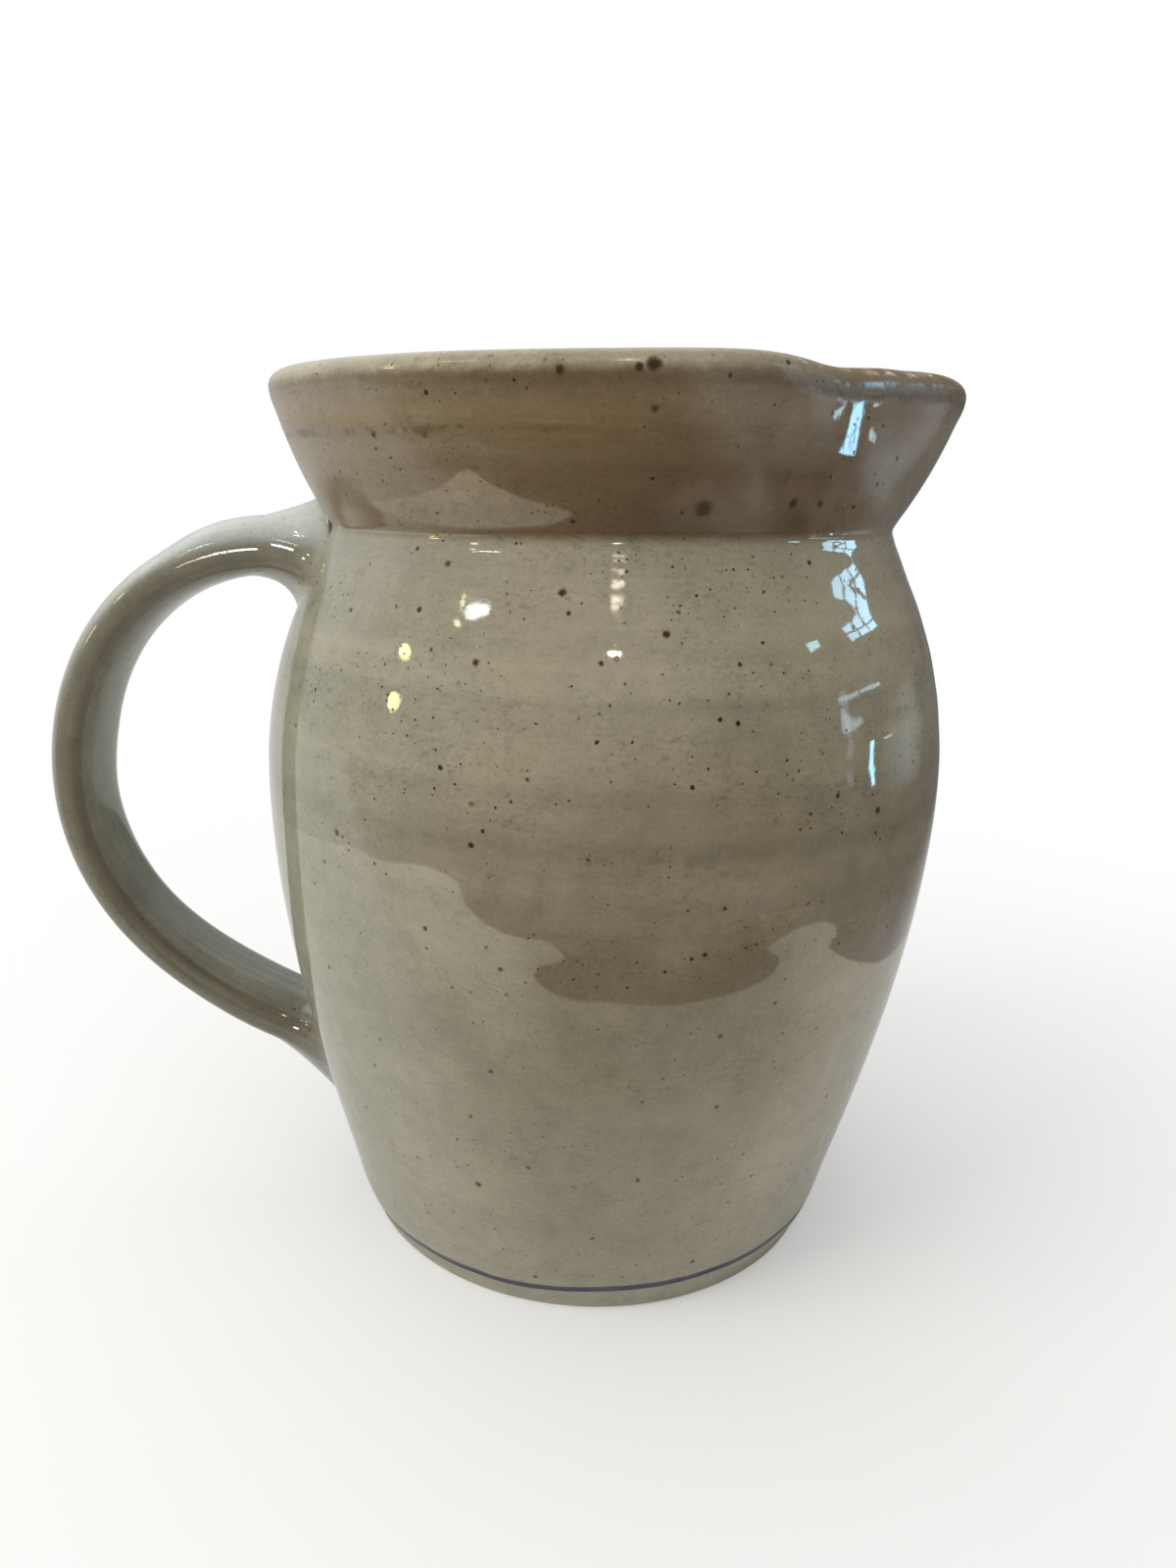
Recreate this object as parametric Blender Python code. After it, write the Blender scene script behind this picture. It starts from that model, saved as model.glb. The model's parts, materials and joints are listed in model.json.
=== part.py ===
"""Stoneware pitcher: a wheel-thrown body with a pinched spout, and a pulled strap handle luted to it.

Metres, +Z up. The origin is the middle of the flat base, +X points out over the spout and -X over the handle.
"""

import math

import bmesh
import bpy
from mathutils import Vector

# Body: outside radii and the heights between them, from the base up
FOOT_RADIUS = 0.0559
BELLY_RADIUS = 0.0758
NECK_RADIUS = 0.0611
RIM_RADIUS = 0.0727
BELLY_HEIGHT = 0.1070
SHOULDER_HEIGHT = 0.0542
COLLAR_HEIGHT = 0.0288

# Body: growth of the radius for each metre of height where two stretches of wall meet
FOOT_FLARE = 0.27
SHOULDER_TAPER = -0.52
COLLAR_FLARE = 0.65
LIP_FLARE = 0.33

# Body: wall, floor, turned edges and rounded corners
WALL = 0.0050
FLOOR = 0.0075
LIP_THICKNESS = 0.0054
CREASE_ROUNDING = 0.0009
THROAT_ROUNDING = 0.0030
FOOT_BEVEL_HEIGHT = 0.0055
FOOT_BEVEL_WIDTH = 0.0010
FOOT_EDGE_RADIUS = 0.0008
FLOOR_FILLET = 0.0120

# Spout: the tip is drawn out and up, and the lip is pinched in beside it, angles measured from the tip
SPOUT_REACH = 0.0023
SPOUT_RISE = 0.0016
SPOUT_SPREAD = math.radians(9)
SPOUT_RISE_SPREAD = math.radians(28)
PINCH_DEPTH = 0.0078
PINCH_START = math.radians(8)
PINCH_FULL = math.radians(36)
PINCH_FOLD = math.radians(50)
PINCH_END = math.radians(74)
FOLD_DIP = 0.0012
FOLD_DIP_ANGLE = math.radians(54)
FOLD_DIP_SPREAD = math.radians(12)

# Handle: the strap, where it leaves the wall, and the loop that it makes
STRAP_THICKNESS = 0.0120
STRAP_WIDTH = 0.0220
STRAP_SQUARENESS = 2.2
ROOT_FLARE = 0.0016
ROOT_RUN = 0.0120
UPPER_ROOT_DROP = 0.0076
LOWER_ROOT_HEIGHT = 0.0352
UPPER_ROOT_ANGLE = math.radians(8.5)
LOWER_ROOT_ANGLE = math.radians(18)
FINGER_GAP = 0.0425
APEX_DROP = 0.0540
UPPER_ROOT_PULL = 0.0353
APEX_PULL_UP = 0.0325
APEX_PULL_DOWN = 0.0291
LOWER_ROOT_PULL = 0.0402

# Clay worked over the two handle roots
UPPER_JOINT_SPREAD = 0.0030
LOWER_JOINT_SPREAD = 0.0055
UPPER_JOINT_TAIL = 0.0025
LOWER_JOINT_TAIL = 0.0030
JOINT_EDGE = 0.0004

# Clearance between pieces that touch
JOINT_GAP = 0.00035

# Facets
BODY_SEGMENTS = 64
WALL_STEPS = 9
SHOULDER_STEPS = 8
CREASE_STEPS = 6
CREASE_BAND = 0.0055
COLLAR_STEPS = 5
LIP_STEPS = 6
CORNER_STEPS = 4
INSIDE_STEPS = 10
STRAP_STEPS = 28
STRAP_SIDES = 24
CAP_RINGS = 3
FILLET_STEPS = 4
SEAT_ROUNDS = 40
CURVE_SAMPLES = 200
SHARP_ANGLE = math.radians(40)

# Sizes that follow from those above
NECK_HEIGHT = BELLY_HEIGHT + SHOULDER_HEIGHT
RIM_HEIGHT = NECK_HEIGHT + COLLAR_HEIGHT
LIP_RADIUS = LIP_THICKNESS / 2
LIP_TILT = math.atan(LIP_FLARE)
LIP_CENTRE_RADIUS = RIM_RADIUS - LIP_RADIUS
LIP_CENTRE_HEIGHT = RIM_HEIGHT - LIP_RADIUS
COLLAR_TOP_RADIUS = LIP_CENTRE_RADIUS + LIP_RADIUS * math.cos(LIP_TILT)
COLLAR_TOP_HEIGHT = LIP_CENTRE_HEIGHT - LIP_RADIUS * math.sin(LIP_TILT)
UPPER_ROOT_HEIGHT = NECK_HEIGHT - UPPER_ROOT_DROP
APEX_HEIGHT = UPPER_ROOT_HEIGHT - APEX_DROP
APEX_RADIUS = BELLY_RADIUS + FINGER_GAP + STRAP_THICKNESS / 2

# Linear colour, roughness and metallic value of each glazed surface
BODY_GLAZE = ((0.29, 0.26, 0.19), 0.22, 0.0)
HANDLE_GLAZE = ((0.20, 0.19, 0.15), 0.20, 0.0)
JOINT_GLAZE = ((0.24, 0.22, 0.165), 0.25, 0.0)


def clear_scene():
    """Remove whatever the file holds before the model is made."""
    for thing in list(bpy.data.objects):
        bpy.data.objects.remove(thing, do_unlink=True)


def add_object(name, shape, glaze):
    """Turn a finished bmesh into a named, smooth-shaded object with its own glaze."""
    bmesh.ops.recalc_face_normals(shape, faces=shape.faces)
    mesh = bpy.data.meshes.new(name)
    shape.to_mesh(mesh)
    shape.free()
    mesh.shade_smooth()
    mesh.set_sharp_from_angle(angle=SHARP_ANGLE)

    colour, roughness, metallic = glaze
    material = bpy.data.materials.new(name + "_glaze")
    material.use_nodes = True
    surface = material.node_tree.nodes["Principled BSDF"]
    surface.inputs["Base Color"].default_value = (*colour, 1.0)
    surface.inputs["Roughness"].default_value = roughness
    surface.inputs["Metallic"].default_value = metallic
    mesh.materials.append(material)

    piece = bpy.data.objects.new(name, mesh)
    bpy.context.collection.objects.link(piece)
    return piece


def smooth_step(low, high, value):
    """Rise from 0 at low to 1 at high with a level start and end."""
    share = min(max((value - low) / (high - low), 0.0), 1.0)
    return share * share * (3 - 2 * share)


def bell(value, spread):
    """Fall from 1 at zero to almost nothing at twice the spread."""
    return math.exp(-(value / spread) ** 2)


def soft_max(one, other, rounding):
    """The larger of two values, with the corner where they cross filled by half the rounding."""
    return (one + other + math.hypot(one - other, rounding)) / 2


def eased_radius(height, low, high):
    """Radius on a cubic between two (height, radius, flare) ends, run on straight past both ends."""
    low_height, low_radius, low_flare = low
    high_height, high_radius, high_flare = high
    if height <= low_height:
        return low_radius + low_flare * (height - low_height)
    if height >= high_height:
        return high_radius + high_flare * (height - high_height)
    span = high_height - low_height
    t = (height - low_height) / span
    from_low = low_radius * (1 + 2 * t) + low_flare * span * t
    from_high = high_radius * (3 - 2 * t) - high_flare * span * (1 - t)
    return from_low * (1 - t) ** 2 + from_high * t ** 2


def body_radius(height):
    """Outside of the swelling body below the neck crease."""
    foot = (0.0, FOOT_RADIUS, FOOT_FLARE)
    belly = (BELLY_HEIGHT, BELLY_RADIUS, 0.0)
    neck = (NECK_HEIGHT, NECK_RADIUS, SHOULDER_TAPER)
    if height < BELLY_HEIGHT:
        return eased_radius(height, foot, belly)
    return eased_radius(height, belly, neck)


def collar_radius(height):
    """Outside of the flared collar above the neck crease."""
    neck = (NECK_HEIGHT, NECK_RADIUS, COLLAR_FLARE)
    top = (COLLAR_TOP_HEIGHT, COLLAR_TOP_RADIUS, LIP_FLARE)
    return eased_radius(height, neck, top)


def outer_radius(height):
    """Outside of the thrown wall, with the foot trimmed back and the crease rounded."""
    thrown = soft_max(body_radius(height), collar_radius(height), CREASE_ROUNDING)
    trim = FOOT_BEVEL_WIDTH * max(1 - height / FOOT_BEVEL_HEIGHT, 0.0)
    return thrown - trim


def inner_radius(height):
    """Inside of the thrown wall, with a softer throat behind the crease."""
    return soft_max(body_radius(height), collar_radius(height), THROAT_ROUNDING) - WALL


def arc(centre, radius, start, end, steps):
    """Points (radius, height) on a turned corner, both ends included."""
    points = []
    for step in range(steps + 1):
        angle = start + (end - start) * step / steps
        points.append((centre[0] + radius * math.cos(angle), centre[1] + radius * math.sin(angle)))
    return points


def wall_line(radius_at, start, end, steps):
    """Points (radius, height) on a wall, from just past the start height up or down to the end height."""
    heights = [start + (end - start) * step / steps for step in range(1, steps + 1)]
    return [(radius_at(height), height) for height in heights]


def body_profile():
    """Half section of the body, from the middle of the base over the lip to the middle of the floor."""
    crease_low = NECK_HEIGHT - CREASE_BAND
    crease_high = NECK_HEIGHT + CREASE_BAND
    edge_centre = (outer_radius(FOOT_EDGE_RADIUS) - FOOT_EDGE_RADIUS, FOOT_EDGE_RADIUS)
    lip_centre = (LIP_CENTRE_RADIUS, LIP_CENTRE_HEIGHT)

    outside = [(0.0, 0.0)]
    outside += arc(edge_centre, FOOT_EDGE_RADIUS, -math.pi / 2, 0.0, CORNER_STEPS)
    outside += wall_line(outer_radius, FOOT_EDGE_RADIUS, FOOT_BEVEL_HEIGHT, 1)
    outside += wall_line(outer_radius, FOOT_BEVEL_HEIGHT, BELLY_HEIGHT, WALL_STEPS)
    outside += wall_line(outer_radius, BELLY_HEIGHT, crease_low, SHOULDER_STEPS)
    outside += wall_line(outer_radius, crease_low, crease_high, CREASE_STEPS)
    outside += wall_line(outer_radius, crease_high, COLLAR_TOP_HEIGHT, COLLAR_STEPS)[:-1]
    lip = arc(lip_centre, LIP_RADIUS, -LIP_TILT, math.pi - LIP_TILT, LIP_STEPS)

    fillet_height = FLOOR + FLOOR_FILLET
    fillet_angle = math.atan((inner_radius(fillet_height) - inner_radius(FLOOR)) / FLOOR_FILLET)
    fillet_radius = inner_radius(fillet_height) - FLOOR_FILLET / math.cos(fillet_angle)
    fillet = arc((fillet_radius, fillet_height), FLOOR_FILLET, -fillet_angle, -math.pi / 2, CORNER_STEPS)
    inside = wall_line(inner_radius, lip[-1][1], crease_high, COLLAR_STEPS)
    inside += wall_line(inner_radius, crease_high, crease_low, CREASE_STEPS)
    inside += wall_line(inner_radius, crease_low, fillet[0][1], INSIDE_STEPS)[:-1]
    return outside + lip + inside + fillet + [(0.0, FLOOR)]


def pull_spout(place):
    """Move one point of the collar to where the drawn tip and the pinch beside it carry it."""
    lift = max((place.z - NECK_HEIGHT) / COLLAR_HEIGHT, 0.0)
    angle = abs(math.atan2(place.y, place.x))
    pinch = smooth_step(PINCH_START, PINCH_FULL, angle) * (1 - smooth_step(PINCH_FOLD, PINCH_END, angle))
    outward = SPOUT_REACH * bell(angle, SPOUT_SPREAD) - PINCH_DEPTH * pinch
    upward = SPOUT_RISE * bell(angle, SPOUT_RISE_SPREAD)
    upward -= FOLD_DIP * bell(angle - FOLD_DIP_ANGLE, FOLD_DIP_SPREAD)
    radial = Vector((place.x, place.y, 0.0)).normalized()
    return place + (radial * outward + Vector((0.0, 0.0, upward))) * lift


def make_body():
    """Spin the half section round the axis, then pull the spout out of the collar."""
    shape = bmesh.new()
    rim = [shape.verts.new((radius, 0.0, height)) for radius, height in body_profile()]
    edges = [shape.edges.new(pair) for pair in zip(rim, rim[1:])]
    bmesh.ops.spin(shape, geom=rim + edges, axis=(0, 0, 1), cent=(0, 0, 0), angle=2 * math.pi,
                   steps=BODY_SEGMENTS, use_merge=True)
    bmesh.ops.remove_doubles(shape, verts=shape.verts, dist=1e-6)
    for vertex in shape.verts:
        vertex.co = pull_spout(vertex.co)
    return add_object("body", shape, BODY_GLAZE)


def on_curve(ends, t):
    """Point on a cubic curve given by its two ends and the two points that pull it."""
    start, first_pull, second_pull, end = ends
    u = 1 - t
    return start * u ** 3 + first_pull * (3 * u * u * t) + second_pull * (3 * u * t * t) + end * t ** 3


def handle_curve():
    """Closely spaced points down the middle of the strap, from the upper root to the lower one."""
    upper = Vector((-outer_radius(UPPER_ROOT_HEIGHT), 0.0, UPPER_ROOT_HEIGHT))
    apex = Vector((-APEX_RADIUS, 0.0, APEX_HEIGHT))
    lower = Vector((-outer_radius(LOWER_ROOT_HEIGHT), 0.0, LOWER_ROOT_HEIGHT))
    leave = Vector((-math.cos(UPPER_ROOT_ANGLE), 0.0, math.sin(UPPER_ROOT_ANGLE)))
    arrive = Vector((math.cos(LOWER_ROOT_ANGLE), 0.0, -math.sin(LOWER_ROOT_ANGLE)))
    up = Vector((0.0, 0.0, 1.0))
    top = (upper, upper + leave * UPPER_ROOT_PULL, apex + up * APEX_PULL_UP, apex)
    bottom = (apex, apex - up * APEX_PULL_DOWN, lower - arrive * LOWER_ROOT_PULL, lower)
    steps = [step / CURVE_SAMPLES for step in range(CURVE_SAMPLES + 1)]
    return [on_curve(top, t) for t in steps] + [on_curve(bottom, t) for t in steps[1:]]


def handle_stations():
    """Evenly spaced (centre, direction) stations on the strap, between the runs that flare into its roots."""
    points = handle_curve()
    run = [0.0]
    for before, after in zip(points, points[1:]):
        run.append(run[-1] + (after - before).length)
    stations = []
    for step in range(STRAP_STEPS + 1):
        target = ROOT_RUN + (run[-1] - 2 * ROOT_RUN) * step / STRAP_STEPS
        index = next(i for i, length in enumerate(run) if length >= target)
        share = (target - run[index - 1]) / (run[index] - run[index - 1])
        direction = (points[index] - points[index - 1]).normalized()
        stations.append((points[index - 1].lerp(points[index], share), direction))
    return stations


def strap_section(station, grow):
    """Closed ring of points round the strap at a station, grown outward by the given distance."""
    centre, direction = station
    across = Vector((0.0, 1.0, 0.0))
    normal = across.cross(direction)
    power = 2 / STRAP_SQUARENESS
    ring = []
    for side in range(STRAP_SIDES):
        angle = 2 * math.pi * side / STRAP_SIDES
        out = math.copysign(abs(math.cos(angle)) ** power, math.cos(angle))
        wide = math.copysign(abs(math.sin(angle)) ** power, math.sin(angle))
        reach = normal * out * (STRAP_THICKNESS / 2 + grow) + across * wide * (STRAP_WIDTH / 2 + grow)
        ring.append(centre + reach)
    return ring


def seat(point, direction):
    """Slide a point along a direction until it stands one joint gap off the wall."""
    for _ in range(SEAT_ROUNDS):
        stand_off = math.hypot(point.x, point.y) - outer_radius(point.z) - JOINT_GAP
        point = point + direction * stand_off
    return point


def root_ring(station, inward, grow):
    """Ring where the strap, flared and grown, meets the wall."""
    return [seat(point, inward) for point in strap_section(station, ROOT_FLARE + grow)]


def root_cap(station, inward):
    """Rings that close the flared end of the strap against the wall, from its edge to near its middle."""
    centre = station[0]
    rings = []
    for step in range(CAP_RINGS):
        share = 1 - step / CAP_RINGS
        flared = [centre.lerp(point, share) for point in strap_section(station, ROOT_FLARE)]
        rings.append([seat(point, inward) for point in flared])
    return rings


def join_rings(shape, rings, closed):
    """Skin neighbouring rings of points with quads, and the last ring to the first where closed."""
    loops = [[shape.verts.new(point) for point in ring] for ring in rings]
    followers = loops[1:] + loops[:1] if closed else loops[1:]
    for loop, follower in zip(loops, followers):
        for side in range(len(loop)):
            after = (side + 1) % len(loop)
            shape.faces.new((loop[side], loop[after], follower[after], follower[side]))
    return loops


def close_ring(shape, loop, middle):
    """Close a ring with a fan of triangles to its middle."""
    hub = shape.verts.new(middle)
    for side in range(len(loop)):
        shape.faces.new((loop[side], loop[(side + 1) % len(loop)], hub))


def make_handle(stations):
    """Loft the strap along its stations and shape both flared ends to the wall."""
    upper = stations[0]
    lower = stations[-1]
    upper_inward = -upper[1]
    lower_inward = lower[1]
    upper_cap = root_cap(upper, upper_inward)
    lower_cap = root_cap(lower, lower_inward)
    middle = [strap_section(station, 0.0) for station in stations]
    shape = bmesh.new()
    loops = join_rings(shape, upper_cap[::-1] + middle + lower_cap, closed=False)
    close_ring(shape, loops[0], seat(upper[0], upper_inward))
    close_ring(shape, loops[-1], seat(lower[0], lower_inward))
    return add_object("handle", shape, HANDLE_GLAZE)


def make_joint(name, root, inward, spread, tail):
    """Fillet of worked clay round one handle root, from the end of its flare to the wall.

    The spread is how far the clay reaches over the wall, and the tail how much further it is drawn down.
    """
    strap = strap_section(root, 0.0)
    strap_low = strap_section(root, JOINT_GAP)
    strap_high = strap_section(root, JOINT_GAP + JOINT_EDGE)
    corners = root_ring(root, inward, JOINT_GAP)
    lines = []
    for side, corner in enumerate(corners):
        outward = (strap_low[side] - strap[side]).normalized()
        reach = outward * (spread + tail * max(-outward.z, 0.0) ** 2)
        wall_low = seat(corner + reach, inward)
        wall_high = wall_low - inward * JOINT_EDGE
        pull = corner + (outward - inward) * JOINT_EDGE
        line = [corner, strap_low[side]]
        for step in range(FILLET_STEPS + 1):
            t = step / FILLET_STEPS
            line.append(strap_high[side] * (1 - t) ** 2 + pull * (2 * t * (1 - t)) + wall_high * t ** 2)
        line += [wall_low, seat(corner + reach / 2, inward)]
        lines.append(line)
    shape = bmesh.new()
    join_rings(shape, list(zip(*lines)), closed=True)
    return add_object(name, shape, JOINT_GLAZE)


def main():
    clear_scene()
    stations = handle_stations()
    upper_root = stations[0]
    lower_root = stations[-1]
    make_body()
    make_handle(stations)
    make_joint("upper_handle_joint", upper_root, -upper_root[1], UPPER_JOINT_SPREAD, UPPER_JOINT_TAIL)
    make_joint("lower_handle_joint", lower_root, lower_root[1], LOWER_JOINT_SPREAD, LOWER_JOINT_TAIL)


main()
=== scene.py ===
# %% [markdown]
# # A stoneware pitcher
# The real thing is thrown on a wheel from one lump of clay, pinched at the rim into a spout, given a pulled
# strap handle, glazed twice and fired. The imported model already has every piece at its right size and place.
# This lesson loads it as a fixed frame, makes a finer surface for each piece on top of it, and glazes them.

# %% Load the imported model
import json
import math
from types import SimpleNamespace

import bpy
import numpy as np
from mathutils import Matrix, Vector

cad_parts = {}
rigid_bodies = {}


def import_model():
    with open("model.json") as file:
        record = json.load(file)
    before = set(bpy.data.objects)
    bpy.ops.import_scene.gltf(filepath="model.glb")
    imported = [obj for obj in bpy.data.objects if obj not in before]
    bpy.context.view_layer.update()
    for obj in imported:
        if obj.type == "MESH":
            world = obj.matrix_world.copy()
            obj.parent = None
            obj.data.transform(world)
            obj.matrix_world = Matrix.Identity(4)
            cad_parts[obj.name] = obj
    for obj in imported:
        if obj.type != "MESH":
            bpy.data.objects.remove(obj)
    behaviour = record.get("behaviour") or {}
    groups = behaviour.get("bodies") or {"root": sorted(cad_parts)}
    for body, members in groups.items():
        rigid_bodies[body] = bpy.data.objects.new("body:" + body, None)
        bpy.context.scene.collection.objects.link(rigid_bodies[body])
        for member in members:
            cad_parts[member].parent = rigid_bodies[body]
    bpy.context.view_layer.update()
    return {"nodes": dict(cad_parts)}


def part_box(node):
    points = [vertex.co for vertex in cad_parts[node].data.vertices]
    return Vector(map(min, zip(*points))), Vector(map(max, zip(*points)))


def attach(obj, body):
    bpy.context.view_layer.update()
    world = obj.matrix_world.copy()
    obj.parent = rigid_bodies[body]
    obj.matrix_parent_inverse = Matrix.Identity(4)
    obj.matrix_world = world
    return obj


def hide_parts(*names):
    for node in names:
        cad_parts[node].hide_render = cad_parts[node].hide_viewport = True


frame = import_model()

# %% [markdown]
# ## Camera
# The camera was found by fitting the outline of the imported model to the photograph: it stands a quarter of a
# metre in front of the pot, a little below the rim, looks slightly down and is held a touch askew. A short
# lens this close is what makes the foot look small. The long side of the picture takes the full sensor.

# %% Place the camera
CAMERA_PLACE = Vector((0.0, -0.2502, 0.1693))
CAMERA_DIP = math.radians(15.242)
CAMERA_TURN = math.radians(0.751)
CAMERA_ROLL = math.radians(1.886)
FOCAL_PIXELS = 1109
PICTURE_HEIGHT = 1600

bpy.ops.object.select_all(action="DESELECT")
bpy.ops.object.camera_add()
camera = bpy.context.object
camera.name = "camera"
look = Matrix.Rotation(CAMERA_TURN, 4, "Z") @ Matrix.Rotation(math.pi / 2 - CAMERA_DIP, 4, "X")
camera.matrix_world = Matrix.Translation(CAMERA_PLACE) @ look @ Matrix.Rotation(CAMERA_ROLL, 4, "Z")
camera.data.lens = camera.data.sensor_width * FOCAL_PIXELS / PICTURE_HEIGHT
camera.data.clip_start = 0.01
bpy.context.scene.camera = camera
print("lens:", round(camera.data.lens, 2), "mm")

# %% [markdown]
# ## The half section
# A thrown pot is a section turned round an axis. The solid in the frame holds that section already, in the
# plane where its edges cross straight in front of the axis, so it is read from there and not typed in again.
# The solid has few facets, so a smooth line is drawn through its corners.

# %% Read the section and smooth it
IN_PLANE = 1e-5
CURVE_SAMPLES = 20000
SHOULDER_SHARES = (0.6, 0.93)


def half_section(solid):
    """Chain the solid's edges in the plane x = 0, from the middle of the base to the middle of the floor."""
    places = []
    for x, y, z in (vertex.co for vertex in solid.data.vertices):
        places.append((round(-y, 6), round(z, 6)) if abs(x) < IN_PLANE else None)
    beside = {}
    for edge in solid.data.edges:
        one, other = (places[index] for index in edge.vertices)
        if one and other and one != other and min(one[0], other[0]) > -IN_PLANE:
            beside.setdefault(one, set()).add(other)
            beside.setdefault(other, set()).add(one)
    ends = [place for place, others in beside.items() if len(others) == 1]
    chain = [min(ends, key=lambda place: place[1])]
    while len(chain) < len(beside):
        chain += [place for place in beside[chain[-1]] if place not in chain[-2:]]
    return np.array([(0.0, chain[0][1]), *chain, (0.0, chain[-1][1])])


def smooth_line(points, samples):
    """Closely spaced points on a smooth line through the given ones."""
    gaps = np.linalg.norm(np.diff(points, axis=0), axis=1)
    run = np.concatenate([[0.0], np.cumsum(gaps)])
    slope = np.gradient(points, run, axis=0)
    fine = np.linspace(0.0, run[-1], samples)
    left = np.clip(np.searchsorted(run, fine, side="right") - 1, 0, len(gaps) - 1)
    gap = gaps[left][:, None]
    t = ((fine - run[left]) / gaps[left])[:, None]
    from_left = points[left] * (1 + 2 * t) + slope[left] * gap * t
    from_right = points[left + 1] * (3 - 2 * t) - slope[left + 1] * gap * (1 - t)
    return from_left * (1 - t) ** 2 + from_right * t ** 2


section = half_section(frame["nodes"]["body"])
curve = smooth_line(section[1:-1], CURVE_SAMPLES)
rim_index = int(np.argmax(curve[:, 1]))
RIM_HEIGHT = curve[rim_index, 1]
outside = curve[:rim_index]
shares = outside[:, 1] / RIM_HEIGHT
shoulder = outside[(shares > SHOULDER_SHARES[0]) & (shares < SHOULDER_SHARES[1])]
NECK_HEIGHT = shoulder[np.argmin(shoulder[:, 0]), 1]
BELLY_HEIGHT = outside[np.argmax(outside[:, 0]), 1]
BELLY_RADIUS = outside[:, 0].max()
print("belly, neck and rim heights:", BELLY_HEIGHT, NECK_HEIGHT, RIM_HEIGHT)

# %% [markdown]
# ## Points where they are needed
# Spin makes one ring of faces for every point of the line, so points are spent with care: close together at
# the lip, the foot and the neck crease, where the line turns sharply, further apart on the plain wall, and
# furthest on the inside, where nothing small shows.

# %% Space the points
LIP_STEP = 0.00045
CREASE_STEP = 0.00035
OUTSIDE_STEP = 0.00105
INSIDE_STEP = 0.0026
FLAT_STEP = 0.0060
LIP_ZONE = 0.006
FOOT_ZONE = 0.002
CREASE_ZONE = 0.003


def spacing(index):
    """How far the next point of the turned line may be from this one."""
    height = curve[index, 1]
    if abs(height - RIM_HEIGHT) < LIP_ZONE or height < FOOT_ZONE:
        return LIP_STEP
    if index > rim_index:
        return INSIDE_STEP
    return CREASE_STEP if abs(height - NECK_HEIGHT) < CREASE_ZONE else OUTSIDE_STEP


def flat_line(start, end):
    """Evenly spaced points on a straight line, without its end."""
    steps = int(np.linalg.norm(end - start) / FLAT_STEP)
    return [start + (end - start) * step / steps for step in range(steps)]


profile = flat_line(section[0], curve[0]) + [curve[0]]
for index in range(1, len(curve) - 1):
    if np.linalg.norm(curve[index] - profile[-1]) >= spacing(index):
        profile.append(curve[index])
profile += flat_line(section[-1], curve[-1])[::-1]
print("section:", len(section), "corners in the solid,", len(profile), "points on the smooth line")

# %% [markdown]
# ## Throwing the body
# On the wheel the clay turns and the hands stay still. Here the section stands still and Spin turns it: a
# plane is merged to a single point, the point is extruded from place to place along the section, and the
# line is spun round the axis. Merging the doubles closes the seam and both poles.

# %% Spin the body
SPIN_STEPS = 240
MERGE_GAP = 1e-6
START_SIZE = 0.001


def edit(piece):
    """Make one piece active, alone in the selection, and open it in edit mode with everything selected."""
    bpy.ops.object.select_all(action="DESELECT")
    piece.select_set(True)
    bpy.context.view_layer.objects.active = piece
    bpy.ops.object.mode_set(mode="EDIT")
    bpy.ops.mesh.select_all(action="SELECT")


def close_up(piece):
    """Merge the doubles of an open piece, turn its faces outwards and leave edit mode."""
    edit(piece)
    bpy.ops.mesh.remove_doubles(threshold=MERGE_GAP)
    bpy.ops.mesh.normals_make_consistent(inside=False)
    bpy.ops.object.mode_set(mode="OBJECT")
    bpy.ops.object.shade_smooth()


bpy.ops.object.select_all(action="DESELECT")
bpy.ops.mesh.primitive_plane_add(size=START_SIZE, location=(0.0, 0.0, 0.0))
body = bpy.context.object
body.name = "thrown_body"
edit(body)
bpy.ops.mesh.merge(type="CENTER")
for before, after in zip(profile, profile[1:]):
    step = (after[0] - before[0], 0.0, after[1] - before[1])
    bpy.ops.mesh.extrude_region_move(TRANSFORM_OT_translate={"value": step})
bpy.ops.mesh.select_all(action="SELECT")
bpy.ops.mesh.spin(steps=SPIN_STEPS, angle=2 * math.pi, center=(0, 0, 0), axis=(0, 0, 1))
bpy.ops.object.mode_set(mode="OBJECT")
close_up(body)
print("body:", len(body.data.vertices), "points,", len(body.data.polygons), "faces")

# %% [markdown]
# ## Moving many points at once
# A hand stroke follows the wall and not the edges of a mesh, so every mark of the hand is made as a plain
# formula of a point's angle and height. The points of a piece are read as one array, all moved together, and
# put back. Three curves serve for all the strokes: a rise, a hump and a bell.


# %% Helpers for moving points
def rise(low, high, value):
    """Go from 0 at low to 1 at high with a level start and end."""
    share = np.clip((value - low) / (high - low), 0.0, 1.0)
    return share * share * (3 - 2 * share)


def hump(span, value):
    """Rise from 0 to 1 between the first two numbers of a span, and fall back between the last two."""
    start, full, fall, end = span
    return rise(start, full, value) * (1 - rise(fall, end, value))


def bell(value, spread):
    """Fall from 1 at zero to almost nothing at twice the spread."""
    return np.exp(-(value / spread) ** 2)


def points_of(piece):
    """All points of a piece as one array."""
    places = np.empty(len(piece.data.vertices) * 3, np.float32)
    piece.data.vertices.foreach_get("co", places)
    return places.reshape(-1, 3).astype(float)


def move_points(piece, places):
    """Put all points of a piece where the array says."""
    piece.data.vertices.foreach_set("co", places.astype(np.float32).ravel())
    piece.data.update()


print("body's points as one array:", points_of(body).shape)

# %% [markdown]
# ## Marks of the hand
# A wheel never runs quite true and fingers leave shallow rings that climb as a spiral, so the wall is moved
# by a tenth of a millimetre or two. Such rings hardly show as shape, but a glossy glaze breaks its highlights
# on them. The inside has rings of its own, which show when one looks in.

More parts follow.
